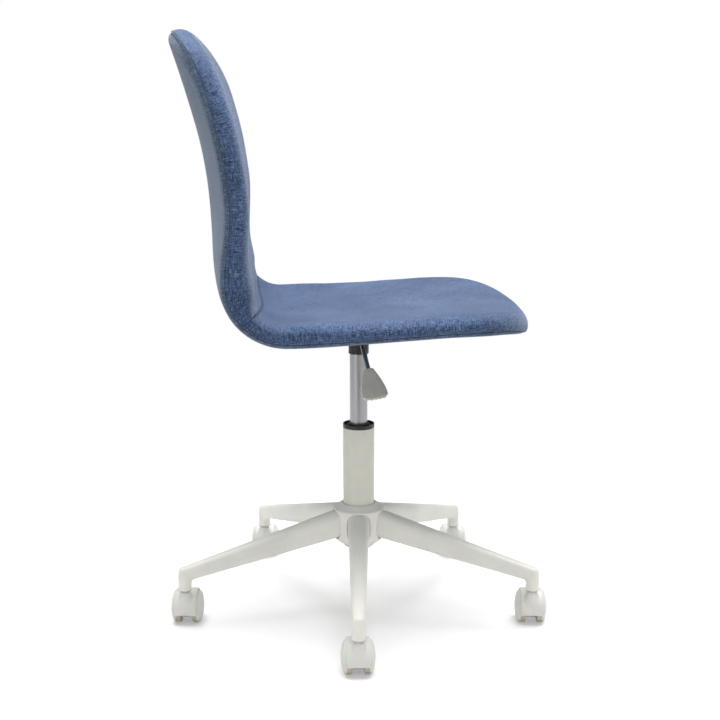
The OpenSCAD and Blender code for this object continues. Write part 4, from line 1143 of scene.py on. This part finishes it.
@dataclass
class CasterForm:
    """Twin-wheel caster: domed wheels, and between them a hood on a swivel stem. Millimetres, axle frame.

    In the axle frame x points in the direction of travel, y up and l along the axle; the stem stands at x = -trail.
    """

    number: int
    stem: tuple[float, float]
    heading: float
    wheel_r: float = 25.0
    trail: float = 20.0
    inner: float = 9.0
    tread: float = 11.0
    band: float = 7.4
    dome: float = 5.6
    hood_in: float = 26.4
    hood_out: float = 29.0
    hood_half: float = 17.9
    hood_from: float = 38.0
    hood_to: float = 193.0
    boss_top: float = 31.3
    boss_low: float = 10.0
    boss_r: float = 9.4
    boss_taper: float = 0.09
    boss_taper_from: float = 17.0
    barrel_power: float = 16
    dent: float = 0.9
    web_gap: float = 0.8

    def place(self, x: Array, y: Array, l: Array) -> Array:
        """Points of the axle frame in metres."""
        c, s = math.cos(self.heading), math.sin(self.heading)
        along = self.trail + x
        return np.stack([self.stem[0] + along * c + l * s, self.stem[1] + along * s - l * c,
                         self.wheel_r + y], -1) * MM

    def polar(self, r: Array, a: Array, l: Array) -> Array:
        """Points of the axle frame in metres, at radius r and angle a round the axle."""
        return self.place(r * np.cos(a), r * np.sin(a), l + 0 * a)

    def wheel_profile(self) -> Array:
        """Half section (r, l) of a wheel: bore, inner face, tread with eased edges, and a domed face with a rim."""
        r, a, b = self.wheel_r, self.inner, self.inner + self.tread
        face = [(24.1, 0.06), (22.8, 0.22), (20.0, 0.43), (15.0, 0.68), (9.0, 0.88), (4.0, 0.98), (0.0, 1.0)]
        dome = [(q, b + self.dome * k) for q, k in face]
        return through([(3.06, a), (8.0, a), (20.0, a), (23.6, a + 0.1), (24.7, a + 0.7), (r, a + 1.8),
                        (r, a + 4.5), (r, b - 2.2), (24.75, b - 0.7), *dome], 6)

    def wheel(self, side: int, hard: Material, soft: Material) -> Object:
        """One wheel on the side given by 1 or -1; the tread band has its own material."""
        curve = self.wheel_profile()
        turn = circle(96)
        bore = np.array([[0.0, self.inner + 8.0], [3.06, self.inner + 8.0], [3.06, self.inner]])
        low, high = (int(np.argmin(np.abs(curve[:, 1] - (self.inner + edge)) + 9 * (curve[:, 0] < 24)))
                     for edge in (0.7, self.band))
        sections = ((bore, 0), (curve[: low + 1], 0), (curve[low : high + 1], 1), (curve[high:], 0))
        parts = [Patch(self.polar(section[:, :1], turn, section[:, 1:] * side), wrap=True, slot=slot)
                 for section, slot in sections]
        tag = "left" if side > 0 else "right"
        piece = build_piece(f"wheel_{self.number}_{tag}", parts,
                            f"caster_{self.number}_wheel_{tag}_body", [hard, soft])
        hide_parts(f"caster_{self.number}_wheel_{tag}")
        return piece

    def hood_field(self, p: Array) -> Array:
        """Field of the hood's outer form: a barrel round the axle with eased sides, blended into the stem's boss.

        The barrel's side falls away as ((|l|/half)**p + (r/R)**p)**(1/p) - 1, and the boss is an upright cone. A
        shallow dent is pressed into the face below the boss.
        """
        x, y, l = p[..., 0], p[..., 1], p[..., 2]
        r, power = np.hypot(x, y), self.barrel_power
        barrel = ((np.abs(l) / self.hood_half) ** power + (r / self.hood_out) ** power) ** (1 / power) - 1
        boss_r = self.boss_r - self.boss_taper * np.maximum(0, y - self.boss_taper_from)
        cone = smooth_max(np.hypot(x + self.trail, l) - boss_r, self.boss_low - y, 6.0)
        dent = self.dent * np.exp(-((l / 5.5) ** 2 + ((y + 1.0) / 8.0) ** 2)) * (x < 0)
        return smooth_min(barrel * 24.0, np.maximum(cone, y - self.boss_top), 4.0) + dent

    def hood(self, plastic: Material) -> Object:
        """The hood: outer face found along rays from the axle, inner faces over the wheels, and the web between."""
        a = np.radians(np.linspace(self.hood_from, self.hood_to, 84))[:, None]
        t = np.linspace(-1, 1, 45)[None, :]
        l = self.hood_half * np.sign(t) * (1 - (1 - np.abs(t)) ** 1.8) * 0.998
        web = self.inner - self.web_gap
        origin = np.stack(np.broadcast_arrays(0 * a, 0 * a, l), -1)
        ray = np.stack(np.broadcast_arrays(np.cos(a), np.sin(a), 0 * l), -1)
        radius = np.maximum(ray_radius(self.hood_field, origin, ray, 60.0), self.hood_in + 0.25)
        outer = self.polar(radius, a, l)
        inner = self.polar(np.where(np.abs(l) > web, self.hood_in, self.hood_in - 1.0) + 0 * a, a, l)
        k = np.linspace(0, 1, 4)[:, None, None]
        patches = [Patch(outer), Patch(inner)]
        for cut in ((slice(None), 0), (slice(None), -1), (0, slice(None)), (-1, slice(None))):
            patches.append(Patch(outer[cut][None] * (1 - k) + inner[cut][None] * k))
        piece = build_piece(f"hood_{self.number}", patches, f"caster_{self.number}_fork", [plastic])
        crisp(piece, 45)
        return piece

    def web(self, plastic: Material) -> Object:
        """The web between the wheels: a plate with rounded rims that carries the axle and joins the hood."""
        a = np.radians(np.linspace(0, 360, 120, endpoint=False))
        half = self.inner - self.web_gap
        covered = (np.degrees(a) > self.hood_from + 2) & (np.degrees(a) < self.hood_to - 2)
        rim = np.where(covered, self.hood_in + 0.8, 18.8)
        section = [(0, -half), (0.97, -half), (1.0, -half + 0.8), (1.0, half - 0.8), (0.97, half), (0, half)]
        rows = []
        for share, l in section + section[:1]:
            r = rim * share if share else np.full_like(a, 3.02)
            rows.append(self.polar(r, a, l))
        piece = build_piece(f"web_{self.number}", [Patch(np.stack(rows), wrap=True)], f"caster_{self.number}_fork",
                            [plastic])
        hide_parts(f"caster_{self.number}_hood")
        crisp(piece, 45)
        return piece


@dataclass
class BaseBuilder:
    """The five legs, the hub and the five casters."""

    turn: float = math.radians(175.9)
    circle: float = 286.0
    skew: tuple[float, ...] = (-1.5, -5.8, -5.0, -5.0, -7.0)

    def build(self, paint: Material, hood: Material, wheel: Material,
              tread: Material) -> None:
        """Builds every piece of the base that is dressed in new surfaces."""
        legs = [LegForm(k + 1, self.turn + k * math.radians(72)) for k in range(5)]
        for leg in legs:
            leg.build(paint)
        HubForm(legs).build(paint)
        for leg, skew in zip(legs, self.skew):
            at = (self.circle * math.cos(leg.azimuth), self.circle * math.sin(leg.azimuth))
            caster = CasterForm(leg.number, at, math.radians(skew))
            caster.hood(hood)
            caster.web(hood)
            caster.wheel(1, wheel, tread)
            caster.wheel(-1, wheel, tread)


# ---------------------------------------------------------------- lever


@dataclass
class PaddleForm:
    """Moulded grip of the height lever: a flat flaring blade with a wavy grip edge. Millimetres, arm frame.

    In the arm frame d runs down the arm, w across it and t through the blade.
    """

    pivot_z: float = 455.2
    turn: float = math.radians(-1.5)
    drop: float = math.radians(49)
    roll: float = math.radians(14)
    twist: float = math.radians(-10)
    bend_x: float = 44.0
    bend_r: float = 26.0
    arm: float = 69.0
    socket: float = 22.0
    length: float = 53.0
    waves: int = 5
    wave: float = 1.1
    bow: float = 2.2
    kick: float = 4.5
    hollow: float = 0.7
    power: float = 3.6
    neck_w: float = 7.6
    neck_t: float = 5.9
    flare: float = 11.9
    thin: float = 3.2
    end_round: float = 3.2
    end_thin: float = 1.2

    def place(self, d: Array, w: Array, t: Array) -> Array:
        """Points of the arm frame in metres; w points to the front of the chair, and the blade turns by twist."""
        w, t = rotated(w, t, self.twist)
        x = self.bend_x + self.bend_r * math.sin(self.drop) + d * math.cos(self.drop) + t * math.sin(self.drop)
        z = self.bend_r * (math.cos(self.drop) - 1) - d * math.sin(self.drop) + t * math.cos(self.drop)
        y, z = rotated(w, z, self.roll)
        x, y = rotated(x, y, self.turn)
        return np.stack([-x, -y, self.pivot_z + z], -1) * MM

    def build(self, plastic: Material) -> Object:
        """The grip: ovals |w/a|**p + |t/b|**p = 1 whose a and b follow the blade, with a wave along its end."""
        k = np.linspace(0, 1, 90)[:, None]
        a = circle(120)[None, :]
        flare = np.sin(math.pi / 2 * np.minimum(1, k / 0.85))
        ending = 1 - np.sqrt(np.maximum(0, 1 - np.maximum(0, (k - 0.9) / 0.1) ** 2))
        half_w = self.neck_w + self.flare * flare - self.end_round * ending
        half_t = self.neck_t - self.thin * ease(k, np.array([0, 1]), np.array([0, 1])) - self.end_thin * ending
        w, t = (np.sign(of) * np.abs(of) ** (2 / self.power) * half
                for of, half in ((np.cos(a), half_w), (np.sin(a), half_t)))
        share = w / half_w
        wave = self.wave * np.cos(share * math.pi * self.waves) * k**6
        d = self.arm - self.socket + self.length * k + wave - self.bow * share**2 * k**5
        dish = self.hollow * np.exp(-(((k - 0.36) / 0.24) ** 2)) * (1 - share**2) * (np.sin(a) > 0)
        grid = self.place(d, w, t - dish + self.kick * k**2)
        caps = [Patch(cap(rim, rim.mean(0), 0.45), wrap=True) for rim in (grid[0], grid[-1])]
        piece = build_piece("lever_grip", [Patch(grid, wrap=True), *caps], "lever", [plastic])
        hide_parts("lever_paddle")
        crisp(piece, 60)
        return piece


# ---------------------------------------------------------------- studio


@dataclass
class Studio:
    """Pale floor, backdrop, soft lamps and the camera."""

    eye: tuple[float, float, float] = (-2.211, 0.1575, 0.873)
    yaw: float = math.radians(-4.13)
    pitch: float = math.radians(-11.837)
    lens: float = 71.73
    floor_tone: float = 0.86
    world_tone: float = 0.31
    glow: float = 0.25
    # Name, place, aim, size in metres, power in watts and spread in degrees.
    lamps: tuple[tuple, ...] = (
        ("overhead", (0.15, -0.1, 2.7), (0, 0, 0.4), 2.6, 126, 180),
        ("key", (-1.7, -2.6, 1.8), (0, 0, 0.3), 1.8, 5, 180),
        ("rear", (0.0, 2.6, 1.7), (0, 0, 0.5), 1.4, 2, 180),
        ("low", (-1.9, 2.0, 0.5), (0, 0, 0.05), 1.2, 5, 180),
        ("hub", (-2.1, 0.0, 1.1), (0, 0, 0.172), 0.2, 0.026, 9),
    )

    def camera(self) -> None:
        """Places the camera: it looks along (cos yaw * cos pitch, sin yaw * cos pitch, sin pitch)."""
        data = bpy.data.cameras.new("camera")
        data.lens, data.sensor_width, data.clip_end = self.lens, 36.0, 60.0
        camera = put("camera", data)
        camera.location = self.eye
        look = Vector((math.cos(self.yaw) * math.cos(self.pitch), math.sin(self.yaw) * math.cos(self.pitch),
                       math.sin(self.pitch)))
        camera.rotation_euler = look.to_track_quat("-Z", "Y").to_euler()
        bpy.context.scene.camera = camera

    def sheet(self, name: str, corners: list[tuple], material: Material) -> Object:
        """A flat sheet with four corners."""
        mesh = bpy.data.meshes.new(name)
        mesh.from_pydata(corners, [], [(0, 1, 2, 3)])
        mesh.materials.append(material)
        return put(name, mesh)

    def floor(self) -> None:
        """A wide floor that keeps the chair's soft shadow and goes to white away from it."""
        half = 14.0
        g = Graph("floor")
        at = g.coords()
        cloud = g.noise(at, 1.5, 2, 0.5)
        path = g.add("ShaderNodeLightPath")
        tone = g.mix(cloud.step(0.2, 0.8), (self.floor_tone,) * 3, (self.floor_tone + 0.01,) * 3)
        glow = g.add("ShaderNodeEmission", None, {"Color": (1.0, 1.0, 1.0),
                                                  "Strength": Val(g, path.outputs["Is Camera Ray"]) * self.glow})
        total = g.add("ShaderNodeAddShader", None, {0: g.shader.outputs[0], 1: glow.outputs[0]})
        place = g.add("ShaderNodeVectorMath", {"operation": "LENGTH"}, {0: at})
        away = Val(g, place.outputs["Value"]).step(0.55, 1.0) * Val(g, path.outputs["Is Camera Ray"])
        white = g.add("ShaderNodeEmission", None, {"Color": (1.0, 1.0, 1.0), "Strength": 1.0})
        both = g.add("ShaderNodeMixShader", None, {0: away, 1: total.outputs[0], 2: white.outputs[0]})
        g.feed(g.out.inputs["Surface"], both.outputs[0])
        floor = self.sheet("floor", [(-half, -half, 0), (half, -half, 0), (half, half, 0), (-half, half, 0)],
                           g.finish(Base_Color=tone, Roughness=0.9, Specular_IOR_Level=0.1))

    def card(self) -> None:
        """A dark card under the camera, which no camera sees: it shows in the steel as a dark band."""
        x, half, top = -1.5, 0.42, 0.45
        g = Graph("card")
        weave = g.noise(g.coords(), 300, 2, 0.5)
        card = self.sheet("card", [(x, -half, 0.001), (x, -half, top), (x, half, top), (x, half, 0.001)],
                          g.finish(Base_Color=(0.02, 0.02, 0.02), Roughness=weave * 0.1 + 0.85))
        card.visible_camera = False

    def lamp(self, name: str, place: tuple, aim: tuple, size: float, power: float, spread: float) -> None:
        """One soft square lamp of the given edge in metres, power in watts and spread in degrees."""
        data = bpy.data.lights.new(name, "AREA")
        data.shape, data.size, data.energy, data.spread = "SQUARE", size, power, math.radians(spread)
        lamp = put(name, data)
        lamp.location = place
        lamp.rotation_euler = (Vector(aim) - Vector(place)).to_track_quat("-Z", "Y").to_euler()

    def sky(self) -> None:
        """Even pale surroundings: white where the camera looks past the floor, dimmer as light."""
        world = bpy.data.worlds.new("studio")
        bpy.context.scene.world = world
        world.use_nodes = True
        tree = world.node_tree
        tree.nodes.clear()
        path = tree.nodes.new("ShaderNodeLightPath")
        seen = tree.nodes.new("ShaderNodeMath")
        seen.operation = "MULTIPLY_ADD"
        tree.links.new(path.outputs["Is Camera Ray"], seen.inputs[0])
        seen.inputs[1].default_value, seen.inputs[2].default_value = 1 - self.world_tone, self.world_tone
        back = tree.nodes.new("ShaderNodeBackground")
        back.inputs[0].default_value = (1, 1, 1, 1)
        tree.links.new(seen.outputs[0], back.inputs[1])
        out = tree.nodes.new("ShaderNodeOutputWorld")
        tree.links.new(back.outputs[0], out.inputs[0])

    def build(self) -> None:
        """Builds the studio."""
        bpy.context.scene.view_settings.view_transform = "Standard"
        self.camera()
        self.floor()
        self.card()
        self.sky()
        for name, place, aim, size, power, spread in self.lamps:
            self.lamp(name, place, aim, size, power, spread)


class Paint(Enum):
    """Finishes that dress CAD nodes as they are."""

    TUBE = PaintFinish("tube_paint", srgb("d8d7cb"))
    # Paler than the tube's paint: the extra paleness is painted fill light, standing in for light the lamps leave
    # short on the legs and hub under the seat.
    BASE = PaintFinish("base_paint_painted_fill_light", srgb("efeee6"))
    SOCKET = PlasticFinish("socket_plastic", srgb("cfcdc4"))
    STEEL = SteelFinish("plated_steel", srgb("aeaeb0"))
    SATIN = SteelFinish("satin_steel", srgb("a6a6a8"), 0.3)
    BLACK = PlasticFinish("black_plastic", srgb("1b1a18"), 0.38)
    PLATE = PaintFinish("black_paint", srgb("141414"), 0.4)
    RUBBER = RubberFinish("bump_rubber", srgb("202020"))
    PLY = PlyFinish("beech_ply", srgb("d8b98a"), srgb("b8925e"))


DRESSING: dict[str, Paint] = {
    "column_tube": Paint.TUBE, "guide_bush": Paint.BLACK, "thrust_bearing": Paint.STEEL,
    "retaining_clip": Paint.STEEL, "bump_stop": Paint.RUBBER, "piston_rod": Paint.STEEL, "piston": Paint.BLACK,
    "pressure_tube": Paint.SATIN, "valve_pin": Paint.STEEL, "mounting_plate": Paint.PLATE, "lever_pin": Paint.STEEL,
    "lever_rod": Paint.SATIN, "plate_screws": Paint.STEEL, "tee_nuts": Paint.STEEL, "shell": Paint.PLY,
    "leg_screws": Paint.STEEL, "stem_sockets": Paint.SOCKET, "grip_rings": Paint.STEEL,
}


def dress_nodes() -> None:
    """Gives each CAD node that stays in view its finish."""
    made = {paint: paint.value.make() for paint in Paint}
    for name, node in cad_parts.items():
        paint = DRESSING.get(name)
        if paint is None and name.endswith(("_stem", "_axle")):
            paint = Paint.STEEL
        if paint is not None:
            for slot in node.material_slots:
                slot.material = made[paint]
    log.info("dressed %d nodes", len(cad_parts))


def main() -> None:
    """Builds the studio, the upholstery, the base and the lever."""
    Studio().build()
    dress_nodes()
    cloth = WeaveFinish("blue_weave", srgb("18253c"), srgb("3c5176"), srgb("768db2")).make()
    # The rear cover is the same cloth as the blue weave; its greyer palette is painted sheen, the whitish shine
    # that the rear band shows at grazing.
    rear = WeaveFinish("rear_weave_painted_sheen", srgb("1f2e44"), srgb("42566f"), srgb("74879f")).make()
    thread = PlasticFinish("thread", srgb("18233a"), 0.8, 0.0001).make()
    # Painted shade: a darker cloth without sheen for the crease of the cross seam.
    painted_fold_shade = PlasticFinish("seam_fold_painted_shade", srgb("1c2940"), 0.85, 0.0001).make()
    Upholstery().build(cloth, rear, painted_fold_shade, thread)
    hood = PlasticFinish("hood_plastic", srgb("e6e5e0"), 0.36).make()
    wheel = PlasticFinish("wheel_plastic", srgb("e6e4de"), 0.34).make()
    tread = PlasticFinish("tread_plastic", srgb("c9bda6"), 0.5).make()
    BaseBuilder().build(Paint.BASE.value.make(), hood, wheel, tread)
    PaddleForm().build(PlasticFinish("grip_plastic", srgb("dad7c8"), 0.28).make())


if __name__ == "__main__":
    main()
